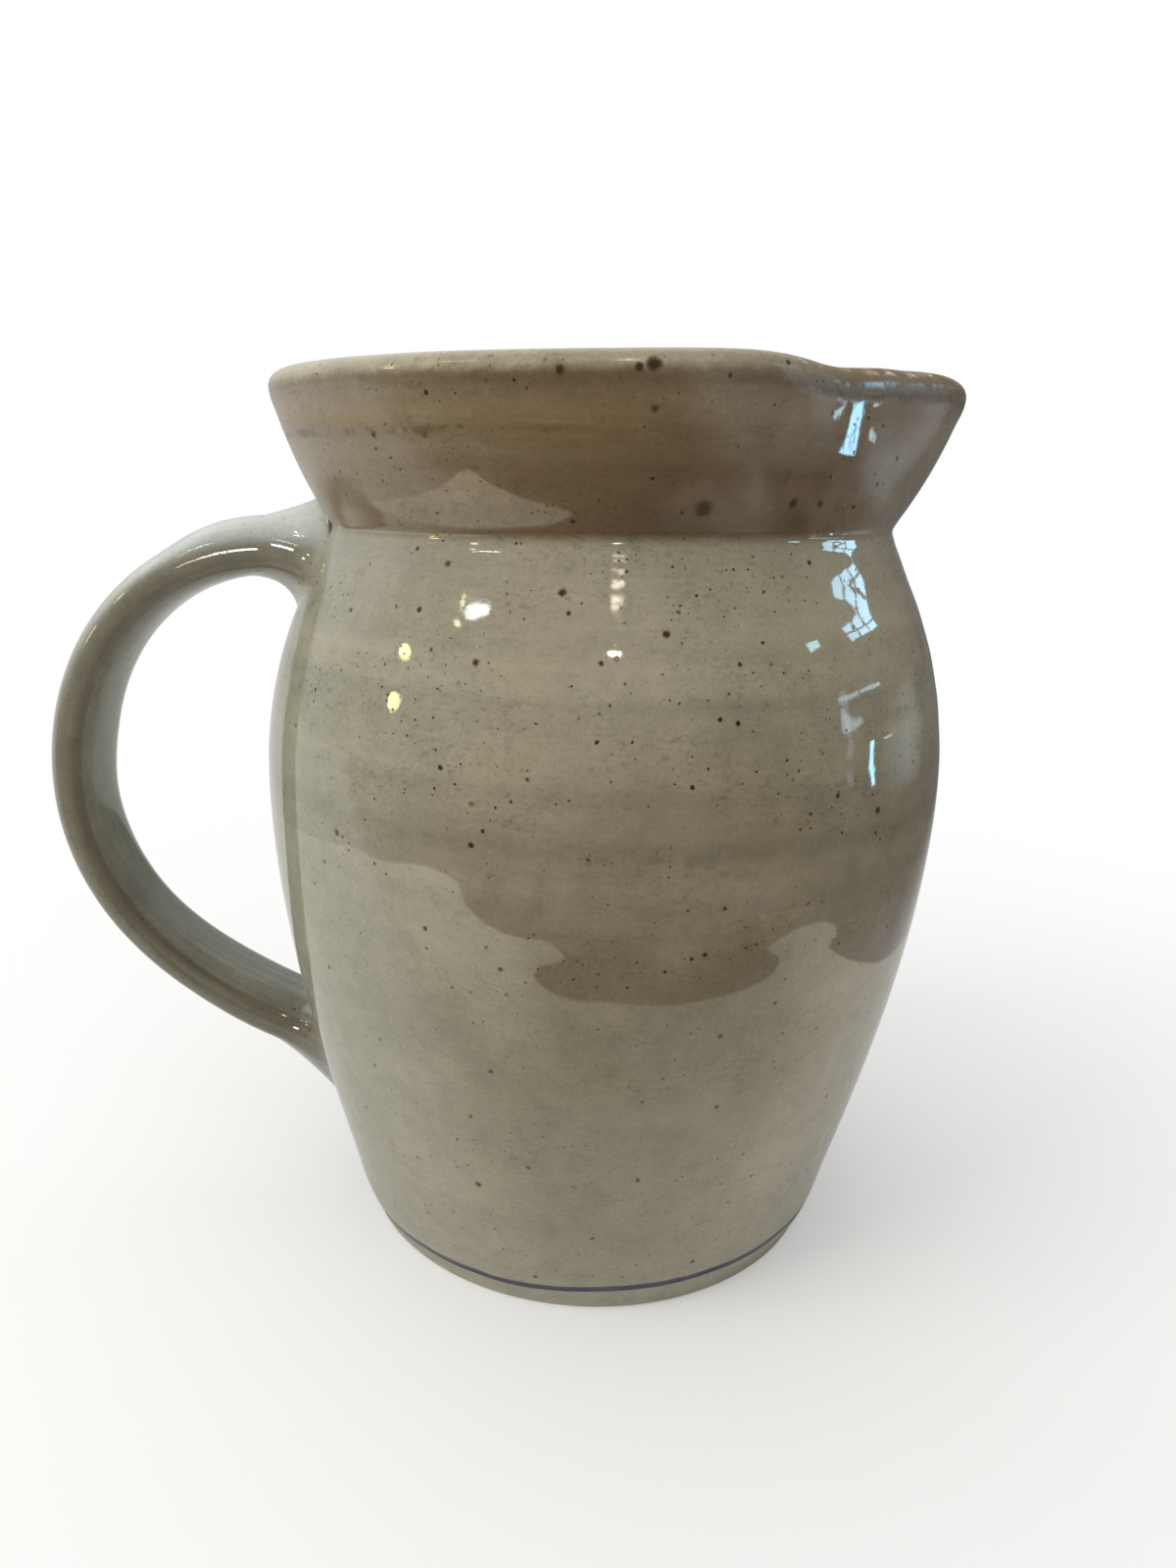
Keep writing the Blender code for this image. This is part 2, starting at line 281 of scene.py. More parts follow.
# %% Add the throwing rings
RING_RISE = 0.0096
RING_DEPTH = 0.000008
RING_START = (0.012, 0.03)
RING_GROWTH = (0.09, 0.13)
DENT_DEPTH = 0.00008
DENT_ANGLE = math.radians(-45)
DENT_SPREAD = math.radians(28)
DENT_START = (0.10, 0.135)
INNER_RING_RISE = 0.0085
INNER_RING_DEPTH = 0.00022
OUT_OF_ROUND = 0.00018
OUT_OF_ROUND_START = (0.0, 0.06)
TRUE_MIDDLE = (0.03, 0.05)
LIP_CURL = 0.0027
HALF_WALL = 0.0026

heights_outside, first = np.unique(outside[:, 1], return_index=True)


def wall_radius(height):
    """Outside radius of the turned wall at a height."""
    return np.interp(height, heights_outside, outside[first, 0])


places = points_of(body)
angle = np.arctan2(places[:, 1], places[:, 0])
radius = np.hypot(places[:, 0], places[:, 1])
height = places[:, 2]
is_outside = radius > wall_radius(np.minimum(height, RIM_HEIGHT - LIP_CURL)) - HALF_WALL
turn = angle / (2 * math.pi)
spiral = np.sin(2 * math.pi * (height / RING_RISE - turn))
spiral += 0.6 * np.sin(2 * math.pi * (height / (RING_RISE * 1.7) - 2 * turn) + 1.3)
strength = RING_DEPTH * rise(*RING_START, height) * (0.45 + 0.55 * rise(*RING_GROWTH, height))
strength += DENT_DEPTH * bell(angle - DENT_ANGLE, DENT_SPREAD) * rise(*DENT_START, height)
strength *= 1 - 0.75 * rise(NECK_HEIGHT - 0.008, NECK_HEIGHT - 0.002, height)
inner = INNER_RING_DEPTH * np.sin(2 * math.pi * (height / INNER_RING_RISE - turn))
inner *= hump((*RING_START, NECK_HEIGHT - 0.02, NECK_HEIGHT), height)
wobble = OUT_OF_ROUND * (np.sin(2 * angle + 0.6) + 0.5 * np.sin(3 * angle + 2.1))
push = np.where(is_outside, spiral * strength, inner) + wobble * rise(*OUT_OF_ROUND_START, height)
push *= rise(*TRUE_MIDDLE, radius)
places[:, 0] += push * np.cos(angle)
places[:, 1] += push * np.sin(angle)
move_points(body, places)
print("throwing rings moved the wall by up to", round(1000 * np.abs(push).max(), 3), "mm")

# %% [markdown]
# ## Pulling the spout
# While the collar is still wet, a finger draws the lip out and down at one place and two fingers of the other
# hand press the wall in on both sides of it. The same strokes are made here as falls and rises along the
# angle from the tip: the tip is drawn out and lifted, the wall beside it is pinched in, and the fold where
# the pinch ends dips a little. All of it fades out down the collar, so that the neck crease stays round.
# Last, the finished rim was never level on the real pot: it leans a little over one degree to the handle.

# %% Pinch the spout and let the rim lean
SPOUT_REACH = 0.0010
SPOUT_RISE = 0.0016
SPOUT_SPREAD = math.radians(9)
SPOUT_RISE_SPREAD = math.radians(28)
PINCH_DEPTH = 0.0078
PINCH_SPAN = np.radians((8, 36, 50, 74))
FOLD_DIP = 0.0012
FOLD_DIP_ANGLE = math.radians(54)
FOLD_DIP_SPREAD = math.radians(12)
RIM_LEAN = math.tan(math.radians(1.35))


def pull_spout(places):
    """Move points of the collar to where the fingers carry them."""
    angle = np.arctan2(places[:, 1], places[:, 0])
    aside = np.abs(angle)
    lift = np.maximum((places[:, 2] - NECK_HEIGHT) / (RIM_HEIGHT - NECK_HEIGHT), 0.0)
    outward = SPOUT_REACH * bell(aside, SPOUT_SPREAD) - PINCH_DEPTH * hump(PINCH_SPAN, aside)
    upward = SPOUT_RISE * bell(aside, SPOUT_RISE_SPREAD)
    upward -= FOLD_DIP * bell(aside - FOLD_DIP_ANGLE, FOLD_DIP_SPREAD)
    moved = places.copy()
    moved[:, 0] += outward * lift * np.cos(angle)
    moved[:, 1] += outward * lift * np.sin(angle)
    moved[:, 2] += upward * lift
    return moved


def leaning(places):
    """How far the leaning rim lifts each point, more the higher it is and the nearer to the spout."""
    return places[:, 0] * RIM_LEAN * rise(BELLY_HEIGHT, NECK_HEIGHT, places[:, 2])


places = pull_spout(points_of(body))
places[:, 2] += leaning(places)
move_points(body, places)
print("spout tip at", places[np.argmax(places[:, 2])].round(4))

# %% [markdown]
# ## What the wheel did not make
# No thrown wall is the ideal one. Held against the photograph, this pot is drawn in a little under the neck,
# and the lip waves: high beside the spout and over the handle, drooping at the very tip. The first is added
# as a soft bell of the height, the second along a smooth wavy line round the rim.

# %% Let the wall wander
NECK_IN = 0.0010
NECK_IN_HEIGHT = 0.1560
NECK_IN_SPREAD = 0.0125
COLLAR_IN = 0.0002
LINE_SAMPLES = 400
LIP_WAVE = [
    (-11, -0.9), (0, -3.1), (11, -0.9), (22, 0.4), (34, 0.6), (52, 1.0), (75, 0.75), (92, 0.35), (120, 0.45),
    (150, 1.0), (180, 1.4), (200, 1.1),
]


def wander(places):
    """Draw the neck in and wave the lip, by millimetres at degrees from the spout."""
    height = places[:, 2]
    angle = np.arctan2(places[:, 1], places[:, 0])
    lift = np.clip((height - NECK_HEIGHT) / (RIM_HEIGHT - NECK_HEIGHT), 0.0, 1.0)
    wave = smooth_line(np.array(LIP_WAVE, float), LINE_SAMPLES)
    inward = -NECK_IN * bell(height - NECK_IN_HEIGHT, NECK_IN_SPREAD) * (0.85 + 0.15 * np.cos(angle))
    inward -= COLLAR_IN * np.clip(-np.cos(angle), 0.0, 1.0) ** 2 * lift
    moved = places.copy()
    moved[:, 0] += inward * np.cos(angle)
    moved[:, 1] += inward * np.sin(angle)
    moved[:, 2] += np.interp(np.degrees(np.abs(angle)), wave[:, 0], wave[:, 1]) / 1000 * lift
    return moved


places = wander(points_of(body))
move_points(body, places)
bpy.context.view_layer.update()
top = places[is_outside & (height > RIM_HEIGHT - 0.0002), 2]
print("rim heights from", top.min().round(4), "to", top.max().round(4))

# %% [markdown]
# ## The strap handle
# A handle is pulled from a wet lump until it is an even strap, then bent in one sweep. A Bezier curve is the
# same thing: two ends and one far point, with their handles, give the sweep. The ends lie on the wall, and
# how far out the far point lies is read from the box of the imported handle.

# %% Lay out the sweep
STRAP_THICKNESS = 0.0120
STRAP_WIDTH = 0.0220
UPPER_ROOT_HEIGHT = NECK_HEIGHT - 0.0076
LOWER_ROOT_HEIGHT = 0.0352
UPPER_ROOT_ANGLE = math.radians(8.5)
LOWER_ROOT_ANGLE = math.radians(18)
APEX_HEIGHT = UPPER_ROOT_HEIGHT - 0.0540
APEX_RADIUS = -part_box("handle")[0].x - STRAP_THICKNESS / 2
UPPER_ROOT_PULL = 0.0353
APEX_PULL_UP = 0.0325
APEX_PULL_DOWN = 0.0291
LOWER_ROOT_PULL = 0.0402

upper_root = Vector((-wall_radius(UPPER_ROOT_HEIGHT), 0.0, UPPER_ROOT_HEIGHT))
lower_root = Vector((-wall_radius(LOWER_ROOT_HEIGHT), 0.0, LOWER_ROOT_HEIGHT))
apex = Vector((-APEX_RADIUS, 0.0, APEX_HEIGHT))
leave = Vector((-math.cos(UPPER_ROOT_ANGLE), 0.0, math.sin(UPPER_ROOT_ANGLE)))
arrive = Vector((math.cos(LOWER_ROOT_ANGLE), 0.0, -math.sin(LOWER_ROOT_ANGLE)))
up = Vector((0.0, 0.0, 1.0))
sweep = [
    (upper_root - leave * UPPER_ROOT_PULL, upper_root, upper_root + leave * UPPER_ROOT_PULL),
    (apex + up * APEX_PULL_UP, apex, apex - up * APEX_PULL_DOWN),
    (lower_root - arrive * LOWER_ROOT_PULL, lower_root, lower_root + arrive * LOWER_ROOT_PULL),
]
print("sweep:", [tuple(round(value, 4) for value in middle) for _, middle, _ in sweep])

# %% [markdown]
# ## The strap's section
# A second curve gives the strap its section, round outside and flatter towards the fingers. Set as the bevel
# of the first it is carried along the whole sweep, and the conversion to a mesh closes both ends.

# %% Sweep the strap
OUTER_ROUNDNESS = 0.58
INNER_ROUNDNESS = 0.72
SECTION_STEPS = 14
SWEEP_STEPS = 48


def add_bezier(name, points, closed):
    """Add a Bezier curve and lay its points and handles where they belong."""
    bpy.ops.object.select_all(action="DESELECT")
    bpy.ops.curve.primitive_bezier_curve_add()
    drawn = bpy.context.object
    drawn.name = name
    line = drawn.data.splines[0]
    line.bezier_points.add(len(points) - len(line.bezier_points))
    line.use_cyclic_u = closed
    for point, (left, middle, right) in zip(line.bezier_points, points):
        point.handle_left_type = point.handle_right_type = "FREE"
        point.co, point.handle_left, point.handle_right = middle, left, right
        point.radius = 1.0
    return drawn


half_thick = STRAP_THICKNESS / 2
half_wide = STRAP_WIDTH / 2
roundness = (OUTER_ROUNDNESS, OUTER_ROUNDNESS, INNER_ROUNDNESS, INNER_ROUNDNESS)
ring = []
for corner, (side, across) in enumerate(((1, 0), (0, 1), (-1, 0), (0, -1))):
    middle = Vector((side * half_wide, across * half_thick, 0.0))
    along = Vector((-across * half_wide, side * half_thick, 0.0))
    ring.append((middle - along * roundness[corner - 1], middle, middle + along * roundness[corner]))
section_curve = add_bezier("strap_section", ring, closed=True)
section_curve.data.dimensions = "2D"
section_curve.data.resolution_u = SECTION_STEPS
strap = add_bezier("strap_handle", sweep, closed=False)
strap.data.dimensions = "3D"
strap.data.resolution_u = SWEEP_STEPS
strap.data.bevel_mode = "OBJECT"
strap.data.bevel_object = section_curve
strap.data.use_fill_caps = True
bpy.ops.object.convert(target="MESH")
strap = bpy.context.object
bpy.data.objects.remove(section_curve)
close_up(strap)
places = points_of(strap)
print("strap box:", places.min(axis=0).round(4), places.max(axis=0).round(4))

# %% [markdown]
# ## Roots of the strap
# A potter swells both ends of the strap before pressing them on, and the pull leaves it thinner here and
# fuller there. Each point of the strap is found again by its nearest place on the sweep, is pushed out or in
# by a soft hump along the length, and the very ends are slid into the wall along a ray, so that no gap stays.

# %% Widen the roots and slide them into the wall
ROOT_FLARE = 0.0016
ROOT_RUN = 0.0120
SEAT_DEPTH = 0.0016
LOWER_SWELL = 0.0003
LOWER_SWELL_START = (0.6, 0.9)
FACE_START = (0.0, 0.45)
THUMB_TRIMS = (
    (0.0006, (0.08, 0.20, 0.35, 0.50)),
    (-0.0011, (0.01, 0.06, 0.11, 0.20)),
    (0.0005, (0.35, 0.50, 0.80, 0.92)),
)
FINGER_TRIM = 0.0010
FINGER_SPAN = (0.42, 0.55, 0.68, 0.88)
SWEEP_SAMPLES = 600


def on_sweep(share):
    """Points on the two cubic stretches of the sweep, for shares from 0 at the upper root to 2 at the lower."""
    stretch = np.minimum(share.astype(int), 1)
    t = (share - stretch)[:, None]
    knots = [np.array([sweep[i][1], sweep[i][2], sweep[i + 1][0], sweep[i + 1][1]]) for i in (0, 1)]
    a, b, c, d = (np.array([knots[k][corner] for k in stretch]) for corner in range(4))
    return a * (1 - t) ** 3 + 3 * b * t * (1 - t) ** 2 + 3 * c * t * t * (1 - t) + d * t ** 3


middle_line = on_sweep(np.linspace(0.0, 2.0, SWEEP_SAMPLES))
tangents = np.gradient(middle_line, axis=0)
tangents /= np.linalg.norm(tangents, axis=1)[:, None]
outwards = np.cross((0.0, 1.0, 0.0), tangents)
run = np.concatenate([[0.0], np.cumsum(np.linalg.norm(np.diff(middle_line, axis=0), axis=1))])
STRAP_LENGTH = run[-1]


def nearest_on_sweep(places):
    """Which sample of the sweep is nearest to each place."""
    return np.argmin(np.linalg.norm(places[:, None] - middle_line[None], axis=2), axis=1)


nearest = nearest_on_sweep(places)
offset = places - middle_line[nearest]
outward = offset / np.linalg.norm(offset, axis=1)[:, None]
to_root = np.minimum(run[nearest], STRAP_LENGTH - run[nearest])
share = run[nearest] / STRAP_LENGTH
swell = ROOT_FLARE * (1 - rise(0.0, ROOT_RUN, to_root)) + LOWER_SWELL * rise(*LOWER_SWELL_START, share)
facing = (outward * outwards[nearest]).sum(axis=1)
thumb_side = sum(depth * hump(span, share) for depth, span in THUMB_TRIMS)
finger_side = FINGER_TRIM * hump(FINGER_SPAN, share)
trim = finger_side * rise(*FACE_START, -facing) - thumb_side * rise(*FACE_START, facing)
places += outward * swell[:, None] + outwards[nearest] * trim[:, None]
for index in np.flatnonzero(to_root < IN_PLANE):
    inward = Vector(-tangents[0] if nearest[index] == 0 else tangents[-1])
    found, hit, _, _ = body.ray_cast(Vector(places[index]) - inward * ROOT_RUN, inward)
    places[index] = hit + inward * SEAT_DEPTH if found else places[index]
move_points(strap, places)
bpy.context.view_layer.update()
print("strap:", round(1000 * STRAP_LENGTH, 1), "mm long,", len(strap.data.polygons), "faces")

# %% [markdown]
# ## Clay worked over the roots
# Where the strap is luted on, a finger smears its clay over the wall: wide under the thumb rest, narrow at
# the sides, and drawn far down below the lower root. Each joint is a torus wrapped round its root. Every ring
# of the torus is laid out as a fillet that leaves the strap and meets the wall without a corner, and then
# goes back through the clay, so the piece is closed and its thin edges vanish into both neighbours. The extra
# steps close to both ends of the fillet keep the smooth shading from bending over those edges.

# %% Lay out one ring of a joint
FILLET_STEPS = (0.0, 0.02, *np.linspace(0.09, 0.91, 11), 0.98, 1.0)
SUNK_EDGE = 0.00003
SUNK_WALL_EDGE = 0.00014
SUNK_BACK = 0.0010
ROOT_SEARCH = 0.02
SEARCH_STEPS = 14


def strap_place(distance, turned):
    """A point on the strap's surface, so far along the sweep and turned so far round from its outer face."""
    centre = np.array([np.interp(distance, run, middle_line[:, axis]) for axis in range(3)])
    out = np.array([np.interp(distance, run, outwards[:, axis]) for axis in range(3)])
    aim = Vector(out * math.cos(turned) + np.array((0.0, math.sin(turned), 0.0)))
    return strap.ray_cast(Vector(centre), aim)[1], aim


def wall_place(place):
    """The nearest point on the body and the way out of the wall there."""
    _, hit, normal, _ = body.closest_point_on_mesh(place)
    return hit, normal


def under_wall(place):
    """Whether a place lies in the clay of the wall."""
    hit, normal = wall_place(place)
    return (place - hit).dot(normal) < 0


def fillet(root, away, turned, strap_reach, wall_reach, fullness):
    """One ring of a joint: from the strap, over the fillet, to the wall and back through the clay."""
    near, far = root, root + away * ROOT_SEARCH
    for _ in range(SEARCH_STEPS):
        half = (near + far) / 2
        if under_wall(strap_place(half, turned)[0]):
            near = half
        else:
            far = half
    corner, aim = strap_place(near, turned)
    leave, _ = strap_place(near + away * strap_reach, turned)
    before_leave, _ = strap_place(near + away * strap_reach * 0.5, turned)
    reach, normal = wall_place(corner + aim * wall_reach)
    reach_half, _ = wall_place(corner.lerp(reach, 0.5))
    start = leave - aim * SUNK_EDGE
    end = reach - normal * SUNK_WALL_EDGE
    first_pull = start + (before_leave - leave) * fullness
    second_pull = end + (reach_half - reach) * fullness
    ring = []
    for t in FILLET_STEPS:
        ring.append(start * (1 - t) ** 3 + first_pull * (3 * t * (1 - t) ** 2)
                    + second_pull * (3 * t * t * (1 - t)) + end * t ** 3)
    inside = corner - aim * SUNK_BACK - wall_place(corner)[1] * SUNK_BACK
    return ring + [end - normal * SUNK_BACK, inside, start - aim * SUNK_BACK]


print("a joint's ring has", len(FILLET_STEPS) + 3, "points")

# %% [markdown]
# ## The two joints
# A finger does not work the clay evenly: the thumb rest gets a long fillet, the inner face less. So every
# joint gets three sizes, for the outer face, the sides and the inner face of the strap, and they blend round
# it. One function wraps both joints, because they differ only in these sizes.

# %% Wrap a joint round each root
JOINT_SIDES = 96
UPPER_ON_STRAP = (0.0260, 0.0090, 0.0170)
UPPER_ON_WALL = (0.0075, 0.0060, 0.0105)
UPPER_FULLNESS = 1.1
LOWER_ON_STRAP = (0.0260, 0.0080, 0.0020)
LOWER_ON_WALL = (0.0220, 0.0070, 0.0020)
LOWER_FULLNESS = 0.8


def blend_round(turned, outer, side, inner):
    """A size that changes smoothly round the strap, from its outer face over its sides to its inner face."""
    facing = math.cos(turned)
    return side + (outer - side) * max(facing, 0.0) ** 2 + (inner - side) * max(-facing, 0.0) ** 2


def add_joint(name, root, away, on_strap, on_wall, fullness):
    """Wrap a torus round one root of the strap."""
    bpy.ops.object.select_all(action="DESELECT")
    bpy.ops.mesh.primitive_torus_add(major_segments=JOINT_SIDES, minor_segments=len(FILLET_STEPS) + 3)
    joint = bpy.context.object
    joint.name = name
    rings = []
    for side in range(JOINT_SIDES):
        turned = 2 * math.pi * side / JOINT_SIDES
        reaches = (blend_round(turned, *on_strap), blend_round(turned, *on_wall))
        rings += fillet(root, away, turned, *reaches, fullness)
    move_points(joint, np.array([list(place) for place in rings]))
    close_up(joint)
    print(name, "has", len(joint.data.polygons), "faces")
    return joint


upper_joint = add_joint("upper_root_joint", 0.0, 1.0, UPPER_ON_STRAP, UPPER_ON_WALL, UPPER_FULLNESS)
lower_joint = add_joint("lower_root_joint", STRAP_LENGTH, -1.0, LOWER_ON_STRAP, LOWER_ON_WALL, LOWER_FULLNESS)

# %% [markdown]
# ## Edges of painted reflection
# The wall is painted darker above a wavy line round the belly, laid out as the edge of a second dip of
# glaze; the contrast is painted reflection of a dark room above the line and a bright table below it. A pale
# patch shaped like a leaf on the collar is painted reflection of the table's corner. Both are drawn on the
# unrolled wall, in degrees from the front and millimetres up. What is kept of them is not a picture but a
# distance: how far a point lies above or below the line. A distance makes a crisp edge even on a mesh that is
# coarser than the edge, because it changes evenly across each face.

# %% Draw the edges of painted reflection
# The wavy edge of the painted reflection round the belly.
PAINTED_REFLECTION_EDGE = [
    (-180, 95), (-166, 97), (-150, 92), (-138, 84), (-126, 82), (-114, 86), (-104, 94), (-92, 99), (-76, 102),
    (-62, 102), (-50, 102.7), (-43, 103.2), (-37, 104), (-31.4, 103), (-22.2, 103.7), (-18.7, 101.7),
    (-18, 98.3), (-16.3, 96), (-11.3, 93.2), (-5.2, 91.8), (-4.1, 89.6), (-7.7, 87.4), (-8.4, 85.7),
    (-6.4, 83), (-3.8, 81.7), (1.8, 81.3), (8.4, 80.4), (15.1, 80.9), (19.3, 81.7), (23.1, 82.9), (26.3, 85.2),
    (27, 87.5), (24.2, 89.9), (25.9, 91.5), (29.7, 93.3), (33.2, 93.6), (36.2, 92), (37.2, 89.6), (35.8, 88),
    (38.5, 85.1), (44.6, 81.3), (50.4, 78.9), (61, 78.6), (72, 80), (80, 86), (88, 92), (100, 95), (112, 93),
    (121, 86), (131, 80), (142, 81), (150, 88), (158, 94), (169, 94), (180, 95),
]
# The painted reflection of the table's corner on the collar.
LEAF_REFLECTION_PATCH = [
    (-45, 165.7), (-37.7, 166.1), (-31.8, 167.1), (-26.5, 168.8), (-23.4, 170.6), (-20.9, 171.9),
    (-19.5, 170.4), (-16.7, 168.8), (-12.4, 167), (-8.7, 166.1), (-5.8, 165.1), (-8.3, 163.5), (-16.3, 162.3),
    (-24.4, 161.8), (-30, 162), (-36.1, 163), (-41.5, 164.1), (-45, 165.7),
]
LEAF_SAMPLES = 120


def unrolled(line):
    """Turn (degrees from the front, millimetres up) into metres along and up the unrolled wall."""
    return np.array([(math.radians(turned) * BELLY_RADIUS, height / 1000) for turned, height in line])


def distance_to(line, places):
    """Distance from each place on the unrolled wall to the nearest stretch of a line."""
    least = np.full(len(places), np.inf)
    for start, end in zip(line, line[1:]):
        way = end - start
        share = np.clip(((places - start) @ way) / (way @ way), 0.0, 1.0)
        least = np.minimum(least, np.linalg.norm(places - start - share[:, None] * way, axis=1))
    return least


def crossings(line, places):
    """How often a plumb line dropped from each place crosses the line."""
    count = np.zeros(len(places), int)
    for start, end in zip(line, line[1:]):
        spans = (start[0] <= places[:, 0]) != (end[0] <= places[:, 0])
        slope = (end[1] - start[1]) / (end[0] - start[0] if end[0] != start[0] else 1.0)
        count += spans & (start[1] + slope * (places[:, 0] - start[0]) < places[:, 1])
    return count


def beyond(line, places):
    """Distance to a line, positive above an open line or within a closed one and negative elsewhere."""
    return distance_to(line, places) * np.where(crossings(line, places) % 2 == 1, 1, -1)


dip_line = smooth_line(unrolled(PAINTED_REFLECTION_EDGE), LINE_SAMPLES)
leaf_line = smooth_line(unrolled(LEAF_REFLECTION_PATCH), LEAF_SAMPLES)
print("dip line:", len(dip_line), "points; leaf:", len(leaf_line), "points")

# %% [markdown]
# ## What each point remembers
# The glaze can read only what the points know, so plain numbers are kept on them. The wall keeps its distance
# to both lines, the height that it had on the wheel, before the rim was pulled and leaned, and whether it is
# inside. The strap keeps how far round and how far along it a point lies. The joints lie on both and keep all
# of these, and how far their clay has come from the wall onto the strap.

# %% Keep numbers on the points
FAR_FROM_LINE = 0.05
UNDER_CREASE = 0.001


def keep(piece, **numbers):
    """Store numbers for each point of a piece, by name."""
    for name, values in numbers.items():
        stored = piece.data.attributes.new(name, "FLOAT", "POINT")
        values = np.broadcast_to(values, len(piece.data.vertices))
        stored.data.foreach_set("value", np.ascontiguousarray(values, np.float32))


places = points_of(body)
on_wall = np.column_stack([np.arctan2(places[:, 0], -places[:, 1]) * BELLY_RADIUS, places[:, 2]])
# Distances to the edge of the painted reflection on the belly and to the painted leaf reflection.
dip = beyond(dip_line, on_wall)
keep(body, dip=dip, leaf=beyond(leaf_line, on_wall), thrown=height, inside=~is_outside)
onto_strap = [*(1 - np.array(FILLET_STEPS)) ** 0.5, 0.0, 0.5, 1.0]
for joint, dipped in ((upper_joint, FAR_FROM_LINE), (lower_joint, -FAR_FROM_LINE)):
    places = points_of(joint)
    thrown = np.minimum(places[:, 2] - leaning(places), NECK_HEIGHT - UNDER_CREASE)
    keep(joint, dip=dipped, leaf=-FAR_FROM_LINE, thrown=thrown, inside=0.0,
         onto_strap=np.tile(onto_strap, JOINT_SIDES))
for piece in (strap, upper_joint, lower_joint):
    places = points_of(piece)
    nearest = nearest_on_sweep(places)
    facing = ((places - middle_line[nearest]) * outwards[nearest]).sum(axis=1) / half_thick
    turned = np.arctan2(np.abs(places[:, 1]) / half_wide, facing) / math.pi
    keep(piece, turned=turned, along=run[nearest] / STRAP_LENGTH)
print("points above the dip line:", int((dip > 0).sum()), "of", len(dip))

# %% [markdown]
# ## Shader sums as plain expressions
# A glaze is mostly sums: this much noise, times that much fade, plus a spot. Wiring every Math node by hand
# hides the sum, so a small class wraps a socket, and Python's own signs add the nodes. Every node comes from
# one function that sets it up first and feeds its sockets afterwards.


# %% A class for shader sums
def add_node(tree, kind, settings, sockets):
    """Add a node to a tree, set it up, and feed its sockets with values or signals."""
    made = tree.nodes.new(kind)
    for name, value in settings.items():
        setattr(made, name, value)
    for name, value in sockets.items():
        if isinstance(value, Signal):
            tree.links.new(value.socket, made.inputs[name])
        else:
            made.inputs[name].default_value = value
    return made


class Signal:
    """One output of a shader node that can be used in sums."""

    def __init__(self, socket):
        self.socket = socket
        self.tree = socket.id_data

    def node(self, kind, settings, sockets, output=0):
        """One output of a new node in the same tree."""
        return Signal(add_node(self.tree, kind, settings, sockets).outputs[output])

    def sum(self, operation, *others):
        """The result of one Math node."""
        return self.node("ShaderNodeMath", {"operation": operation}, dict(enumerate((self, *others))))

    def __add__(self, other):
        return self.sum("ADD", other)

    def __sub__(self, other):
        return self.sum("SUBTRACT", other)

    def __rsub__(self, other):
        return self.sum("MULTIPLY_ADD", -1.0, other)

    def __mul__(self, other):
        return self.sum("MULTIPLY", other)

    def __truediv__(self, other):
        return self.sum("DIVIDE", other)

    def __gt__(self, other):
        return self.sum("GREATER_THAN", other)

    __radd__ = __add__
    __rmul__ = __mul__

    def least(self, other):
        """The smaller of two."""
        return self.sum("MINIMUM", other)

    def most(self, other):
        """The larger of two."""
        return self.sum("MAXIMUM", other)

    def rise(self, low, high):
        """Go from 0 where this signal is low to 1 where it is high, with a level start and end."""
        sockets = {"Value": self, "From Min": low, "From Max": high}
        return self.node("ShaderNodeMapRange", {"interpolation_type": "SMOOTHSTEP"}, sockets)

    def stripe(self, middle, outer, core):
        """1 within a core round a middle value, and 0 beyond the outer distance from it."""
        return (self - middle).sum("ABSOLUTE").rise(outer, core)

    def stray(self, noise, amount):
        """This signal, led astray to both sides by a noise."""
        return self + (noise - 0.5) * amount

    def tint(self, low, high):
        """A colour between two, picked by this signal."""
        low, high = (colour if isinstance(colour, Signal) else (*colour, 1.0) for colour in (low, high))
        settings = {"data_type": "RGBA", "clamp_factor": True}
        return self.node("ShaderNodeMix", settings, {0: self, 6: low, 7: high}, 2)

    def coat(self, colour, share):
        """This colour with another laid over it, by a share."""
        return share.tint(self, colour)

    def shade(self, amount):
        """This colour made lighter or darker by a factor."""
        return self.node("ShaderNodeVectorMath", {"operation": "SCALE"}, {0: self, "Scale": amount})

    def noise(self, scale, detail=3.0, rough=0.55):
        """Soft noise read at this place, about 0.5 on average."""
        sockets = {"Vector": self, "Scale": scale, "Detail": detail, "Roughness": rough}
        return self.node("ShaderNodeTexNoise", {}, sockets, "Fac")

    def stretch(self, x, y, z):
        """This place with its axes stretched."""
        return self.node("ShaderNodeVectorMath", {"operation": "MULTIPLY"}, {0: self, 1: (x, y, z)})

    def shaken(self, scale, amount):
        """This place shaken by fine noise, which makes round things ragged."""
        shake = self.node("ShaderNodeTexNoise", {}, {"Vector": self, "Scale": scale, "Detail": 2.0}, "Color")
        sockets = {0: shake, 1: (amount, amount, amount), 2: self}
        return self.node("ShaderNodeVectorMath", {"operation": "MULTIPLY_ADD"}, sockets)

    def apart(self):
        """The three numbers of this place or colour."""
        return [Signal(part) for part in add_node(self.tree, "ShaderNodeSeparateXYZ", {}, {0: self}).outputs]

    def kept(self, name):
        """A number that was stored on the points of the piece."""
        settings = {"attribute_type": "GEOMETRY", "attribute_name": name}
        return self.node("ShaderNodeAttribute", settings, {}, "Fac")

    def blend(self, first, second):
        """A shader between two, picked by this signal."""
        return self.node("ShaderNodeMixShader", {}, {0: self, 1: first, 2: second})


def new_material(name):
    """A fresh material's tree, its shader, and the place on the piece that its patterns read."""
    material = bpy.data.materials.new(name)
    material.use_nodes = True
    tree = material.node_tree
    place = add_node(tree, "ShaderNodeTexCoord", {}, {}).outputs["Object"]
    return material, tree.nodes["Principled BSDF"], Signal(place)


print("shader sums ready")

